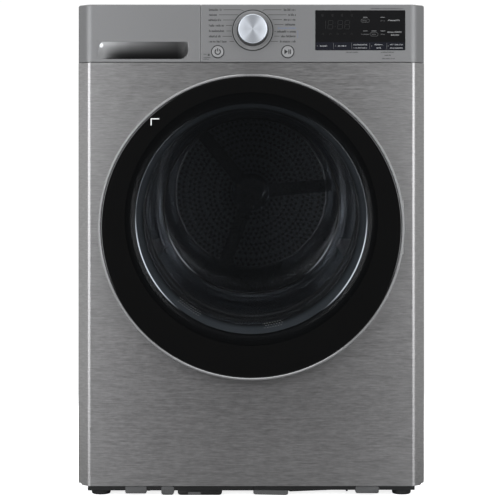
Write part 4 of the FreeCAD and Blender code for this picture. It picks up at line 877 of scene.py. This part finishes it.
knob = turned_cap("knob_cap", [(5.8, -306.0), (5.8, -318.2), (25.9, -318.9), (26.5, -319.5), (26.6, -320.6), (26.45, -324.0), (25.5, -338.6), (25.35, -340.6), (25.1, -341.8, 2), (24.8, -342.5, 2),
                               (24.4, -342.85, 2), (23.9, -342.95, 1), (23.2, -342.75, 1), (12.0, -342.5, 1), (1.2, -342.45, 1)],
                  KX, KZ, [M["knob_side"], M["knob_face"], M["knob_rim"]], "knob", 160, 25, (0, 1))
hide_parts("programme_knob")
ring_a = lathe("knob_ring", [(27.2, -316.9), (27.2, -318.7), (27.6, -319.0), (30.4, -318.9), (30.9, -319.15), (33.5, -319.1), (34.0, -318.8), (34.0, -316.9)], KX, KZ, [M["ring"]], "cabinet", 160, "fascia_silver", 25)
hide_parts("control_trim_rings")
lathe("knob_ring_line", [(34.0, -317.0), (34.0, -318.35), (35.7, -318.35), (35.7, -317.0)], KX, KZ, [M["groove"]], "cabinet", 160, "fascia_silver", 30)
lathe("knob_ring_shadow_gap", [(26.5, -316.9), (26.5, -318.1), (27.2, -318.1), (27.2, -316.9)], KX, KZ, [M["black"]], "cabinet", 128, "black_plastic", 30)

BTN = {"power": (-0.058, 0.768, "power_key"), "start": (0.063, 0.768, "start_key")}
BX = {"power": px(217.9), "start": px(287.6)}
for key, (bx, bz, body) in BTN.items():
    cap = turned_cap(key + "_key_cap", [(9.0, -310.0), (9.9, -310.2), (9.9, -318.0), (9.7, -318.7, 0), (9.2, -319.0), (8.4, -319.05), (7.9, -318.85), (4.0, -318.75), (0.8, -318.75)], bx, bz, [M["key"]], body, 96, 18)
    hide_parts(key + "_button")
    lathe(key + "_key_ring_dark", [(9.95, -312.0), (9.95, -318.45), (11.35, -318.6), (11.35, -312.0)], bx, bz, [M["groove"]], "cabinet", 96, "fascia_silver", 30)
    lathe(key + "_key_ring", [(11.35, -312.0), (11.35, -318.3), (11.6, -318.35), (12.2, -318.3), (12.4, -318.1), (12.4, -312.0)], bx, bz, [M["fascia"]], "cabinet", 96, "fascia_silver", 30)

# icons on the keys
ib = Build()
bx, bz = BTN["power"][0], BTN["power"][1]
ib.arc(bx, bz, 0.0036, 0.0055, 90 + 32, 360 + 90 - 35, -0.31895, -0.3186, 0, 30)
ib.rect(bx - 0.0008, bx + 0.0008, bz + 0.0006, bz + 0.0060, -0.31895, -0.3186, 0)
ib.out("power_icon", [M["ink_dark"]], "power_key", "fascia_silver")
ib = Build()
bx, bz = BTN["start"][0], BTN["start"][1]
ib.prism([(bx - 0.0058, bz - 0.0042), (bx + 0.0001, bz), (bx - 0.0058, bz + 0.0042)], -0.31895, -0.3186)
ib.rect(bx + 0.0011, bx + 0.0027, bz - 0.0039, bz + 0.0039, -0.31895, -0.3186)
ib.rect(bx + 0.0037, bx + 0.0053, bz - 0.0039, bz + 0.0039, -0.31895, -0.3186)
ib.out("start_icon", [M["ink_dark"]], "start_key", "fascia_silver")

# ---------------------------------------------------------------- printing: generic strokes in place of words
rnd = random.Random(11)
PY0, PY1 = -0.31812, -0.3179


def strokes(b, x0, x1, z, h=0.0030, mi=0, y0=PY0, y1=PY1, gap=0.00035, wd=0.00064):
    """Small upright and level ticks, like words seen from afar.  They spell nothing."""
    x = x0
    w = wd
    while x < x1 - 0.36 * h:
        cw = rnd.uniform(0.36, 0.50) * h
        top = h * rnd.choice((0.62, 0.62, 0.62, 0.95))
        zb = z - h * 0.42
        b.rect(x, x + w, zb, zb + top, y0, y1, mi)
        kind = rnd.random()
        if kind < 0.75:
            b.rect(x + cw - w, x + cw, zb, zb + h * 0.62, y0, y1, mi)
        if kind < 0.40:
            b.rect(x + w, x + cw - w, zb + h * 0.62 - w, zb + h * 0.62, y0, y1, mi)
        elif kind < 0.60:
            b.rect(x + w, x + cw - w, zb, zb + w, y0, y1, mi)
        elif kind < 0.80:
            b.rect(x + w, x + cw - w, zb + h * 0.28, zb + h * 0.28 + w, y0, y1, mi)
        x += cw + gap


pb = Build()
left = [(9.8, 209, 219), (14.8, 209, 216.7), (20, 208.5, 221.3), (25.5, 209, 224), (31, 209, 224.8), (36.3, 209, 220.8), (41.5, 209, 227.8)]
lead_l = [(9.8, 223.5, 241), (14.8, 219, 237.5), (20, 223, 234), (25.5, 226, 232), (31, 226.5, 231), (36.3, 222.5, 232), (41.5, 229.5, 234)]
right = [(9.8, 283.8, 296.3), (14.8, 288.3, 296.3), (19.6, 283.8, 296.3), (24.5, 285, 296.3), (31.5, 277, 296.3), (36.2, 281, 296.3), (41.4, 280, 296.3)]
lead_r = [(9.8, 264, 281.5), (14.8, 268.5, 286.5), (19.6, 272.5, 282), (24.5, 274.5, 283.5), (31.5, 274.5, 276), (36.2, 274.3, 279.5), (41.4, 270.5, 278)]
for y, a, b_ in left + right:
    strokes(pb, px(a), px(b_), pz(y), 0.0044, 0)
strokes(pb, px(278), px(296.3), pz(28), 0.0026, 2)
for y, a, b_ in lead_l + lead_r:
    pb.rect(px(a), px(b_), pz(y) - 0.00045, pz(y) + 0.00045, PY0, PY1, 1)
for (xa, ya), (xb, yb) in (((241, 9.8), (243.8, 11.2)), ((264, 9.8), (262.6, 11.2)), ((237.5, 14.8), (238.5, 15.4)), ((268.5, 14.8), (267.5, 15.4))):
    x0, z0, x1, z1 = px(xa), pz(ya), px(xb), pz(yb)
    L = math.hypot(x1 - x0, z1 - z0); nx, nz = -(z1 - z0) / L * 0.00035, (x1 - x0) / L * 0.00035
    pb.prism([(x0 - nx, z0 - nz), (x1 - nx, z1 - nz), (x1 + nx, z1 + nz), (x0 + nx, z0 + nz)], PY0, PY1, 1)
pb.arc(px(220.6), pz(9.8), 0.0011, 0.0017, 0, 360, PY0, PY1, 0, 18)
# bracket on the right
pb.rect(px(297.8) - 0.0003, px(297.8) + 0.0003, pz(37.5), pz(31), PY0, PY1, 2)
pb.rect(px(296.9), px(297.8), pz(31) - 0.0003, pz(31) + 0.0003, PY0, PY1, 2)
pb.rect(px(296.9), px(297.8), pz(37.5) - 0.0003, pz(37.5) + 0.0003, PY0, PY1, 2)
# padlock and its small print, lower left
lx, lz = px(208.7), pz(54.6)
pb.rect(lx - 0.0017, lx + 0.0017, lz - 0.0020, lz + 0.0004, PY0, PY1, 0, 0.0004, seg=2)
pb.arc(lx, lz + 0.0004, 0.0009, 0.0014, 0, 180, PY0, PY1, 0, 12)
strokes(pb, px(203.6), px(206.8), pz(54.2), 0.0018, 1)
strokes(pb, px(203.5), px(211), pz(57.6), 0.0018, 1)
strokes(pb, px(203.5), px(209), pz(59.2), 0.0016, 1)
# faint print round the display
strokes(pb, px(371), px(403), pz(8.6), 0.0017, 1)
strokes(pb, px(346), px(358), pz(52.2), 0.0022, 1)
strokes(pb, px(381), px(394), pz(52.2), 0.0022, 1)
strokes(pb, px(384.5), px(391.5), pz(55.2), 0.0026, 1)
strokes(pb, px(382), px(395), pz(58.6), 0.0022, 1)
pb.out("fascia_printing", [M["ink"], M["ink_mid"], M["ink_blue"]], "cabinet", "fascia_silver")
M["ink_dash"] = speckled("ink_dash", grey(112), 0.0, (0.4, 0.5), 800.0, 0.04, 0.05, 0.00001)

# ---------------------------------------------------------------- display window
DX0, DX1, DZ0, DZ1 = 0.111, 0.2655, 0.771, 0.839
db = Build()
db.rect(DX0 - 0.0007, DX1 + 0.0007, DZ0 - 0.0005, DZ1 + 0.0007, -0.3184, -0.3168, 0, 0.0012, 0.0003)
win = db.out("display_window", [M["display"]], "cabinet", "display_black", 12)
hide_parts("display_glass")
DY0, DY1 = -0.31848, -0.3183
pb = Build()
# lower key strip with its separators
pb.rect(DX0 + 0.001, DX1 - 0.001, pz(49.9), pz(42.2), -0.31843, -0.3182, 3)
for s_ in (333.5, 351.7, 369.7, 386.7):
    pb.rect(px(s_) - 0.0003, px(s_) + 0.0003, pz(49.2), pz(43.0), DY0, DY1, 1)
for y, runs in ((45.9, ((320, 328), (338, 346))), (44.6, ((353.5, 368), (374.5, 383), (390, 403))), (47.9, ((353.5, 367.5), (376.5, 381.8), (390, 402.5)))):
    for a, b_ in runs:
        strokes(pb, px(a), px(b_), pz(y), 0.0027, 0, DY0, DY1, 0.0006, 0.00038)
for s_ in (317.3, 335.6, 371.6, 388.2):
    pb.arc(px(s_), pz(46), 0.0006, 0.0011, 0, 360, DY0, DY1, 1, 12)
# unlit icons, top row and second row
for s_ in (322.6, 332.6, 342, 351.8):
    pb.arc(px(s_), pz(15.3), 0.0015, 0.0021, 20, 340, DY0, DY1, 2, 16)
    pb.rect(px(s_) - 0.0004, px(s_) + 0.0004, pz(15.3) - 0.0011, pz(15.3) + 0.0011, DY0, DY1, 2)
for s_ in (323, 330.3, 337.5, 344.5, 351.3):
    pb.rect(px(s_) - 0.0021, px(s_) + 0.0021, pz(34) - 0.0014, pz(34) - 0.0009, DY0, DY1, 2)
    pb.arc(px(s_), pz(34), 0.0010, 0.0016, 0, 360, DY0, DY1, 2, 14)


def digit(xc, w, z0, z1):
    """Seven unlit segments."""
    t, g, sl = 0.0009, 0.00035, 0.0008
    zm = (z0 + z1) / 2
    x0, x1 = xc - w / 2, xc + w / 2

    def seg(xa, za, xb, zb):
        sh = lambda z: (z - z0) / (z1 - z0) * sl
        if abs(xa - xb) > abs(za - zb):
            pts = [(xa + g, za), (xa + g + t / 2, za - t / 2), (xb - g - t / 2, za - t / 2), (xb - g, za), (xb - g - t / 2, za + t / 2), (xa + g + t / 2, za + t / 2)]
        else:
            pts = [(xa, za + g), (xa + t / 2, za + g + t / 2), (xa + t / 2, zb - g - t / 2), (xa, zb - g), (xa - t / 2, zb - g - t / 2), (xa - t / 2, za + g + t / 2)]
        pb.prism([(x + sh(z), z) for x, z in pts], DY0, DY1, 2)
    seg(x0, z0, x1, z0); seg(x0, zm, x1, zm); seg(x0, z1, x1, z1)
    seg(x0, z0, x0, zm); seg(x0, zm, x0, z1); seg(x1, z0, x1, zm); seg(x1, zm, x1, z1)


za, zb = pz(29.3), pz(20.2)
for xc in (330.2, 339.9, 347.0):
    digit(px(xc), 0.0082, za + 0.0006, zb - 0.0006)
pb.rect(px(325.6) - 0.0005, px(325.6) + 0.0005, za + 0.001, zb - 0.001, DY0, DY1, 2)
for dz in (0.30, 0.70):
    pb.rect(px(335.2) - 0.0005, px(335.2) + 0.0005, za + (zb - za) * dz - 0.0005, za + (zb - za) * dz + 0.0005, DY0, DY1, 2)
# indicator dashes, pills and their captions
for x_, y_ in ((365.2, 17.3), (382.5, 17.3), (365.5, 31), (374, 31), (382.8, 31)):
    pb.rect(px(x_ - 2.3), px(x_ + 2.3), pz(y_) - 0.0004, pz(y_) + 0.0004, DY0, DY1, 4, 0.0002, seg=2)
for x0_, x1_, y0_, y1_ in ((361, 369.4, 18.8, 22.6), (370, 378.2, 32.3, 36.3)):
    xa_, xb_, z0_, z1_ = px(x0_), px(x1_), pz(y1_), pz(y0_)
    r_ = (z1_ - z0_) / 2
    zc_ = (z0_ + z1_) / 2
    pb.rect(xa_ + r_, xb_ - r_, z1_ - 0.0005, z1_, DY0, DY1, 1)
    pb.rect(xa_ + r_, xb_ - r_, z0_, z0_ + 0.0005, DY0, DY1, 1)
    pb.arc(xa_ + r_, zc_, r_ - 0.0005, r_, 90, 270, DY0, DY1, 1, 14)
    pb.arc(xb_ - r_, zc_, r_ - 0.0005, r_, -90, 90, DY0, DY1, 1, 14)
    strokes(pb, xa_ + 0.003, xb_ - 0.003, zc_, 0.0024, 1, DY0, DY1, 0.0005, 0.0004)
for a, b_, y in ((380.5, 385, 20.8), (361.5, 369.5, 34.3), (380.8, 385, 34.3)):
    strokes(pb, px(a), px(b_), pz(y), 0.0024, 1, DY0, DY1, 0.0005, 0.0004)
for a, b_, y in ((388, 400.5, 20.3), (387.3, 402, 32), (391, 399, 35)):
    strokes(pb, px(a), px(b_), pz(y), 0.0032, 0, DY0, DY1, 0.0007, 0.00036)
pb.out("display_legends", [M["ink_light"], M["ink_unlit"], M["ink_seg"], M["strip"], M["ink_dash"]], "cabinet", "display_black")

# corner tick on the door border
tb = Build()
tx0, tx1, tz0, tz1 = (150.6 - 251.3) * 1.7111 * mm, (159.2 - 251.3) * 1.7111 * mm, 0.6395, 0.6515
TY0, TY1 = -0.34405, -0.3435
tb.rect(tx0, tx1, tz1 - 0.0016, tz1, TY0, TY1)
tb.rect(tx0, tx0 + 0.0016, tz0, tz1 - 0.0016, TY0, TY1)
M["tick"] = speckled("border_tick", grey(226), 0.0, (0.4, 0.5), 800.0, 0.03, 0.05, 0.00001)
tb.out("door_border_tick", [M["tick"]], "door", "door_black")

# ---------------------------------------------------------------- drum: perforated rear disc
DCX, DCZ, PITCH, HOLE = 0.0, 0.530, 0.012, 0.0032


def perforated_ring(cx, cz, r0, rows, n, pitch, hole, y0, y1, seg=12):
    """Rows of six-sided tiles bent round into a ring, each tile with a real round hole, closed front to back."""
    verts, faces, cache = [], [], {}
    period = round(n * pitch * 1e6)

    def vert(x, y, z):
        k = (round(x * 1e6) % period, round(y * 1e6), round(z * 1e6))
        if k not in cache:
            cache[k] = len(verts)
            t = 2 * math.pi * x / (n * pitch)
            verts.append((cx + (r0 + z) * math.cos(t), y, cz + (r0 + z) * math.sin(t)))
        return cache[k]

    R = pitch / math.sqrt(3)
    edges = {}
    for j in range(rows):
        zc = j * pitch * math.sqrt(3) / 2
        k_ = n * pitch / (2 * math.pi * (r0 + zc))
        for i in range(n):
            x = (i + 0.5 * (j % 2)) * pitch
            outer, inner = [], []
            for k in range(seg):
                a = math.radians(30 + 360 * k / seg)
                ro = R if k % 2 == 0 else R * math.cos(math.radians(30))
                outer.append((x + ro * math.cos(a), zc + ro * math.sin(a)))
                inner.append((x + hole * k_ * math.cos(a), zc + hole * math.sin(a)))
            for y, flip in ((y0, False), (y1, True)):
                o = [vert(p[0], y, p[1]) for p in outer]
                h = [vert(p[0], y, p[1]) for p in inner]
                for k in range(seg):
                    q = (k + 1) % seg
                    f = (o[k], o[q], h[q], h[k])
                    faces.append(f[::-1] if flip else f)
                    if not flip:
                        edges[o[k], o[q]] = (outer[k], outer[q])
            for k in range(seg):
                q = (k + 1) % seg
                faces.append((vert(inner[k][0], y0, inner[k][1]), vert(inner[q][0], y0, inner[q][1]), vert(inner[q][0], y1, inner[q][1]), vert(inner[k][0], y1, inner[k][1])))
    for (a, b_), (p, q) in edges.items():
        if (b_, a) not in edges:
            faces.append((a, b_, vert(q[0], y1, q[1]), vert(p[0], y1, p[1])))
    return verts, faces


av, af = [], []
for r0, rows, n in ((0.046, 3, 32), (0.078, 3, 50), (0.110, 3, 68), (0.142, 2, 84)):
    v, f = perforated_ring(DCX, DCZ, r0, rows, n, 0.011, 0.0031, 0.2550, 0.2560)
    off = len(av)
    av += v
    af += [tuple(i + off for i in q) for q in f]
disc = mesh("drum_rear_disc", av, af, [M["drum_disc"]], "drum", None, 30, fix=False)
for k, (ra, rb) in enumerate(((36.0, 42.85), (68.15, 74.85), (100.15, 106.85), (132.15, 138.85), (154.65, 158.6))):
    lathe("drum_rear_band_%d" % (k + 1), [(ra, 255.4), (ra, 254.9), (ra + 0.4, 254.6), (rb - 0.4, 254.6), (rb, 254.9), (rb, 255.4)], DCX, DCZ, [M["drum_disc"]], "drum", 144, "drum_steel", 30)
# solid ring round the holes, pressed in two steps, out to the shell
rim_ = lathe("drum_rear_rim", [(156.0, 253.6), (158.0, 253.0), (163.0, 253.0), (166.0, 254.6), (190.0, 254.8), (196.0, 252.4), (222.0, 252.2), (228.0, 254.8), (250.0, 255.0), (258.0, 252.0), (260.4, 246.0), (260.6, 257.0), (156.0, 257.0)],
              DCX, DCZ, [M["drum"]], "drum", 160, "drum_steel", 30)
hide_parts("drum_rear_wall")
# hub cap over the shaft, with its three screws
lathe("drum_hub_ring", [(24.0, 243.6), (26.0, 242.8), (36.0, 242.8), (38.4, 244.0), (38.4, 245.4), (24.0, 245.4)], DCX, DCZ, [M["drum"]], "drum", 96, "drum_steel", 40)
sb = Build()
for a in (35, 155, 275):
    x, z = DCX + 0.031 * math.cos(math.radians(a)), DCZ + 0.031 * math.sin(math.radians(a))
    sb.prism([(x + 0.0035 * math.cos(t), z + 0.0035 * math.sin(t)) for t in [k * math.pi / 8 for k in range(16)]], 0.2406, 0.2430, 0, 0.0006)
sb.out("drum_hub_screws", [M["steel"]], "drum", "drum_steel")

# ---------------------------------------------------------------- underside trim along the front edge
ub = Build()
ub.rect(-0.2828, 0.0040, 0.0094, 0.0173, -0.3155, -0.2902, 0, 0.0008)
ub.rect(0.0030, 0.2828, 0.0104, 0.0173, -0.3155, -0.2902, 0, 0.0008)
ub.rect(-0.1810, -0.1745, 0.0082, 0.0150, -0.3120, -0.2930, 0, 0.0015)
ub.rect(-0.1775, -0.1290, 0.0088, 0.0150, -0.3118, -0.2935, 0, 0.0015)
# pump cover with ribs and an inset
ub.rect(-0.1275, -0.0506, 0.0010, 0.0150, -0.3125, -0.2300, 0, 0.0050, 0.0006)
for k in range(9):
    ub.rect(-0.0835 + 0.0035 * k, -0.0820 + 0.0035 * k, 0.0040, 0.0118, -0.3131, -0.3120, 0, 0.0005)
# middle block running out into a wedge
ub.prism([(0.0034, 0.0150), (0.0034, 0.0100), (0.0640, 0.0085), (0.0668, 0.0070), (0.1480, 0.0102), (0.1500, 0.0118), (0.1500, 0.0150)], -0.3125, -0.2600, 0, 0.0006)
ub.rect(0.1636, 0.1672, 0.0072, 0.0150, -0.3110, -0.3060, 0, 0.0014)
skirt = ub.out("base_skirt_dark_parts", [M["skirt"]], "cabinet", "black_plastic", 25)
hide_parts("base_skirt")
ub = Build()
ub.rect(-0.2180, -0.1812, 0.0042, 0.0169, -0.3162, -0.2800, 0, 0.0026, 0.0006)
ub.rect(-0.1558, -0.1338, 0.0018, 0.0169, -0.3162, -0.2850, 0, 0.0042, 0.0006)
for k in range(5):
    ub.rect(-0.1532 + 0.0037 * k, -0.1515 + 0.0037 * k, 0.0042, 0.0120, -0.3167, -0.3157, 0, 0.0005)
ub.rect(0.1802, 0.2206, 0.0046, 0.0169, -0.3162, -0.2800, 0, 0.0030, 0.0006)
ub.rect(-0.1095, -0.0875, 0.0014, 0.0062, -0.3136, -0.3060, 0, 0.0015, 0.0005)
ub.prism([(0.0034, 0.0104), (0.0034, 0.0040), (0.0062, 0.0022), (0.0596, 0.0010), (0.0634, 0.0024), (0.0642, 0.0092)], -0.3140, -0.2600, 0, 0.0006)
ub.out("base_skirt_grey_blocks", [M["mid"]], "cabinet", "grey_plastic", 25)
ub = Build()
ub.rect(-0.0468, -0.0034, 0.0102, 0.0132, -0.3100, -0.2960, 0, 0.0013, 0.0005)
ub.out("base_skirt_link_bar", [M["bar"]], "cabinet", "galvanised", 25)


# ---------------------------------------------------------------- feet: fluted pad, collar and threaded stem
def foot(name, cx, cy, body, node):
    secs = [(11.5, 0.0, 0), (14.2, 0.15, 0), (15.6, 0.9, 0), (16.3, 2.2, 1), (16.5, 4.0, 1), (16.5, 10.0, 1), (15.9, 11.0, 0), (14.6, 11.5, 0), (9.0, 11.6, 0), (8.6, 11.9, 0), (8.6, 14.5, 0), (5.2, 14.7, 0)]
    z = 15.2
    while z < 41.0:
        secs += [(5.0, z, 0), (4.5, z + 0.65, 0)]
        z += 1.3
    secs += [(5.0, 41.4, 0), (4.4, 42.0, 0)]
    n = 96
    verts, faces = [], []
    for r, zz, fl in secs:
        for k in range(n):
            a = 2 * math.pi * k / n
            rr = r * (1 - 0.030 * (0.5 + 0.5 * math.cos(24 * a))) if fl else r
            verts.append((cx + rr * mm * math.cos(a), cy + rr * mm * math.sin(a), zz * mm))
    for i in range(len(secs) - 1):
        for k in range(n):
            q = (k + 1) % n
            faces.append((i * n + k, i * n + q, (i + 1) * n + q, (i + 1) * n + k))
    faces.append(tuple(range(n))[::-1])
    faces.append(tuple((len(secs) - 1) * n + k for k in range(n)))
    split = 9 * n
    fm = [1 if i >= split else 0 for i in range(len(faces))]
    ob = mesh(name, verts, faces, [M["foot"], M["steel"]], body, fm, 30)
    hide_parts(node)


foot("foot_fluted_fl", -0.262, -0.289, "foot_front_left", "front_left_foot")
foot("foot_fluted_fr", 0.262, -0.289, "foot_front_right", "front_right_foot")
foot("foot_fluted_rl", -0.262, 0.296, "foot_rear_left", "rear_left_foot")
foot("foot_fluted_rr", 0.262, 0.296, "foot_rear_right", "rear_right_foot")

# ---------------------------------------------------------------- cabinet sides: a shallow pressed field in each sheet
SIDE_Y = [-302, -301.6, -300.8, -299.2, -296, -270] + [-250 + 3.5 * k for k in range(20)] + [-140, -90, -40, 20, 80, 130, 170] + [206 + 3.5 * k for k in range(20)] + [290, 318, 327.2, 328.8, 329.6, 330]
SIDE_Z = [20, 20.4, 24, 50] + [66 + 3.5 * k for k in range(22)] + [170, 230, 300, 370, 440, 510, 580, 640, 690] + [706 + 3.5 * k for k in range(22)] + [800, 815, 825.6, 826]


def pressing(y, z, cy=12.0, cz=424.0, hy=238.0, hz=332.0, r=46.0, slope=13.0, deep=2.4):
    """Depth in mm of the field at (y, z): flat inside, a soft shoulder, nothing outside."""
    qy, qz = abs(y - cy) - hy + r, abs(z - cz) - hz + r
    d = r - (math.hypot(max(qy, 0.0), max(qz, 0.0)) + min(max(qy, qz), 0.0))
    return deep * smooth(d / slope)


def side_sheet(name, s, node):
    """Front return, wall, rear return, one sheet 1 mm thick, bent at small radii."""
    ys = sorted(set(SIDE_Y))
    verts, faces = [], []
    rows = []
    for z in SIDE_Z:
        outer = [(286.0, -302.0)]
        inner = [(286.0, -301.0)]
        for y in ys:
            ef = max(0.0, 1.2 - (y + 302.0)); eb = max(0.0, 1.2 - (330.0 - y))
            rnd_ = (1.2 - math.sqrt(max(0.0, 1.44 - ef * ef))) + (1.2 - math.sqrt(max(0.0, 1.44 - eb * eb)))
            p = pressing(y, z)
            outer.append((300.0 - p - rnd_, y))
            inner.append((299.0 - p - rnd_ * 0.15, min(329.0, max(-301.0, y))))
        outer.append((284.0, 330.0))
        inner.append((284.0, 329.0))
        row = []
        for x, y in outer + inner[::-1]:
            row.append(len(verts))
            verts.append((s * x * mm, y * mm, z * mm))
        rows.append(row)
    n = len(rows[0])
    for a, b_ in zip(rows, rows[1:]):
        for k in range(n):
            q = (k + 1) % n
            faces.append((a[k], a[q], b_[q], b_[k]) if s > 0 else (a[q], a[k], b_[k], b_[q]))
    h = n // 2
    for row, up in ((rows[0], False), (rows[-1], True)):
        for k in range(h - 1):
            q = (row[k], row[k + 1], row[n - 2 - k], row[n - 1 - k])
            faces.append(q if up == (s > 0) else q[::-1])
    ob = mesh(name, verts, faces, [M["cabinet"]], "cabinet", None, 40)
    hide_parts(node)


side_sheet("side_sheet_right", 1, "right_side_panel")
side_sheet("side_sheet_left", -1, "left_side_panel")

# ---------------------------------------------------------------- back: beads pressed in the duct cover, its rim screws
DCZM = 530.0
lathe("duct_cover_bead", [(146.0, 344.6), (147.0, 345.4), (149.0, 346.6), (152.0, 347.0), (155.0, 346.6), (157.0, 345.4), (158.0, 344.6)], 0.0, 0.530, [M["zinc"]], "cabinet", 160, "galvanised", 50)
lathe("duct_cover_centre_bead", [(50.0, 344.6), (51.0, 345.4), (53.0, 346.4), (56.0, 346.4), (58.0, 345.4), (59.0, 344.6)], 0.0, 0.530, [M["zinc"]], "cabinet", 128, "galvanised", 50)
bb = Build()
for k in range(6):
    a = math.radians(30 + 60 * k)
    ca, sa = math.cos(a), math.sin(a)
    pts = []
    for t in range(13):
        u = -math.pi / 2 + math.pi * t / 12
        pts.append((140.0 + 5.0 * math.cos(u) - 5.0, 5.0 * math.sin(u)))
    for t in range(13):
        u = math.pi / 2 + math.pi * t / 12
        pts.append((70.0 + 5.0 * math.cos(u) + 0.0, 5.0 * math.sin(u)))
    out = [((r * ca - w * sa) * mm, 0.530 + (r * sa + w * ca) * mm) for r, w in pts]
    bb.prism(out, 0.3446, 0.3464, 0, 0.0011)
bb.out("duct_cover_ribs", [M["zinc"]], "cabinet", "galvanised")
sb = Build()
for k in range(8):
    a = math.radians(22.5 + 45 * k)
    x, z = 0.229 * math.cos(a), 0.530 + 0.229 * math.sin(a)
    sb.prism([(x + 0.0046 * math.cos(t), z + 0.0046 * math.sin(t)) for t in [i * math.pi / 12 for i in range(24)]], 0.3448, 0.3456, 0, 0.0003)
    sb.prism([(x + 0.0034 * math.cos(t), z + 0.0034 * math.sin(t)) for t in [i * math.pi / 3 for i in range(6)]], 0.3454, 0.3478, 0, 0.0004)
sb.out("duct_cover_screws", [M["steel"]], "cabinet", "galvanised")

# ---------------------------------------------------------------- studio
world = bpy.data.worlds.new("studio")
S.world = world
world.use_nodes = True
wt = world.node_tree
wt.nodes.clear()
w_out = wt.nodes.new("ShaderNodeOutputWorld")
w_mix = wt.nodes.new("ShaderNodeMixShader")
w_path = wt.nodes.new("ShaderNodeLightPath")
w_cam = wt.nodes.new("ShaderNodeBackground")
w_cam.inputs["Color"].default_value = (1, 1, 1, 1)
w_cam.inputs["Strength"].default_value = 1.05
w_env = wt.nodes.new("ShaderNodeBackground")
w_tc = wt.nodes.new("ShaderNodeTexCoord")
w_sep = wt.nodes.new("ShaderNodeSeparateXYZ")
wt.links.new(w_tc.outputs["Generated"], w_sep.inputs[0])
w_ramp = wt.nodes.new("ShaderNodeMapRange")
w_ramp.interpolation_type = "SMOOTHSTEP"
w_ramp.inputs["From Min"].default_value = -1.0
w_ramp.inputs["From Max"].default_value = -0.55
w_ramp.inputs["To Min"].default_value = 0.06
w_ramp.inputs["To Max"].default_value = 0.66
wt.links.new(w_sep.outputs["Y"], w_ramp.inputs["Value"])
wt.links.new(w_ramp.outputs["Result"], w_env.inputs["Strength"])
w_env.inputs["Color"].default_value = (0.98, 0.99, 1.0, 1)
wt.links.new(w_path.outputs["Is Camera Ray"], w_mix.inputs["Fac"])
wt.links.new(w_env.outputs[0], w_mix.inputs[1])
wt.links.new(w_cam.outputs[0], w_mix.inputs[2])
wt.links.new(w_mix.outputs[0], w_out.inputs["Surface"])


def area(name, loc, target, size, watts, color=(1, 1, 1)):
    d = bpy.data.lights.new(name, "AREA")
    d.shape = "RECTANGLE"
    d.size, d.size_y = size
    d.energy = watts
    d.color = color
    ob = bpy.data.objects.new(name, d)
    S.collection.objects.link(ob)
    ob.location = loc
    ob.rotation_euler = (Vector(target) - Vector(loc)).to_track_quat("-Z", "Y").to_euler()
    ob.visible_camera = False
    return ob


area("key_left", (-1.42, -2.15, 0.85), (-0.1, 0, 0.50), (1.5, 1.7), 42, (0.975, 0.99, 1.02))
area("fill_right", (1.46, -2.15, 0.85), (0.1, 0, 0.50), (1.5, 1.7), 36, (0.975, 0.99, 1.02))
area("overhead", (0.0, -0.2, 2.9), (0, 0, 0), (3.4, 3.0), 70, (0.98, 0.99, 1.01))
area("back_soft", (0.4, 2.8, 1.6), (0, 0, 0.4), (2.6, 1.8), 60)

# floor: pale, and out of sight away from the object
fl = bpy.data.materials.new("floor")
fl.use_nodes = True
ft, fb = nodes_of(fl)
fb.inputs["Base Color"].default_value = (0.93, 0.93, 0.93, 1)
fb.inputs["Roughness"].default_value = 0.9
fb.inputs["Specular IOR Level"].default_value = 0.1
f_tc = ft.nodes.new("ShaderNodeTexCoord")
f_len = ft.nodes.new("ShaderNodeVectorMath"); f_len.operation = "LENGTH"
ft.links.new(f_tc.outputs["Object"], f_len.inputs[0])
f_rng = ft.nodes.new("ShaderNodeMapRange"); f_rng.interpolation_type = "SMOOTHSTEP"
f_rng.inputs["From Min"].default_value = 0.55; f_rng.inputs["From Max"].default_value = 1.3
ft.links.new(f_len.outputs["Value"], f_rng.inputs["Value"])
f_lp = ft.nodes.new("ShaderNodeLightPath")
f_col = ft.nodes.new("ShaderNodeMix"); f_col.data_type = "RGBA"
f_col.inputs["A"].default_value = (0.16, 0.16, 0.16, 1); f_col.inputs["B"].default_value = (0.97, 0.97, 0.97, 1)
ft.links.new(f_lp.outputs["Is Camera Ray"], f_col.inputs["Factor"])
ft.links.new(f_col.outputs["Result"], fb.inputs["Base Color"])
f_tr = ft.nodes.new("ShaderNodeBsdfTransparent")
f_mix = ft.nodes.new("ShaderNodeMixShader")
ft.links.new(f_rng.outputs["Result"], f_mix.inputs["Fac"])
f_em = ft.nodes.new("ShaderNodeEmission")
f_em.inputs["Color"].default_value = (1, 1, 1, 1)
f_st = ft.nodes.new("ShaderNodeMath"); f_st.operation = "MULTIPLY"; f_st.inputs[1].default_value = 0.85
ft.links.new(f_lp.outputs["Is Camera Ray"], f_st.inputs[0])
ft.links.new(f_st.outputs[0], f_em.inputs["Strength"])
f_add = ft.nodes.new("ShaderNodeAddShader")
ft.links.new(fb.outputs[0], f_add.inputs[0]); ft.links.new(f_em.outputs[0], f_add.inputs[1])
ft.links.new(f_add.outputs[0], f_mix.inputs[1])
ft.links.new(f_tr.outputs[0], f_mix.inputs[2])
ft.links.new(f_mix.outputs[0], ft.nodes["Material Output"].inputs["Surface"])
fv, ff = [], []
for i in range(13):
    for j in range(13):
        fv.append((-1.5 + 3.0 * i / 12, -1.5 + 3.0 * j / 12, 0))
for i in range(12):
    for j in range(12):
        a = i * 13 + j
        ff.append((a, a + 13, a + 14, a + 1))
floor = mesh("floor", fv, ff, fl, None, fix=False)
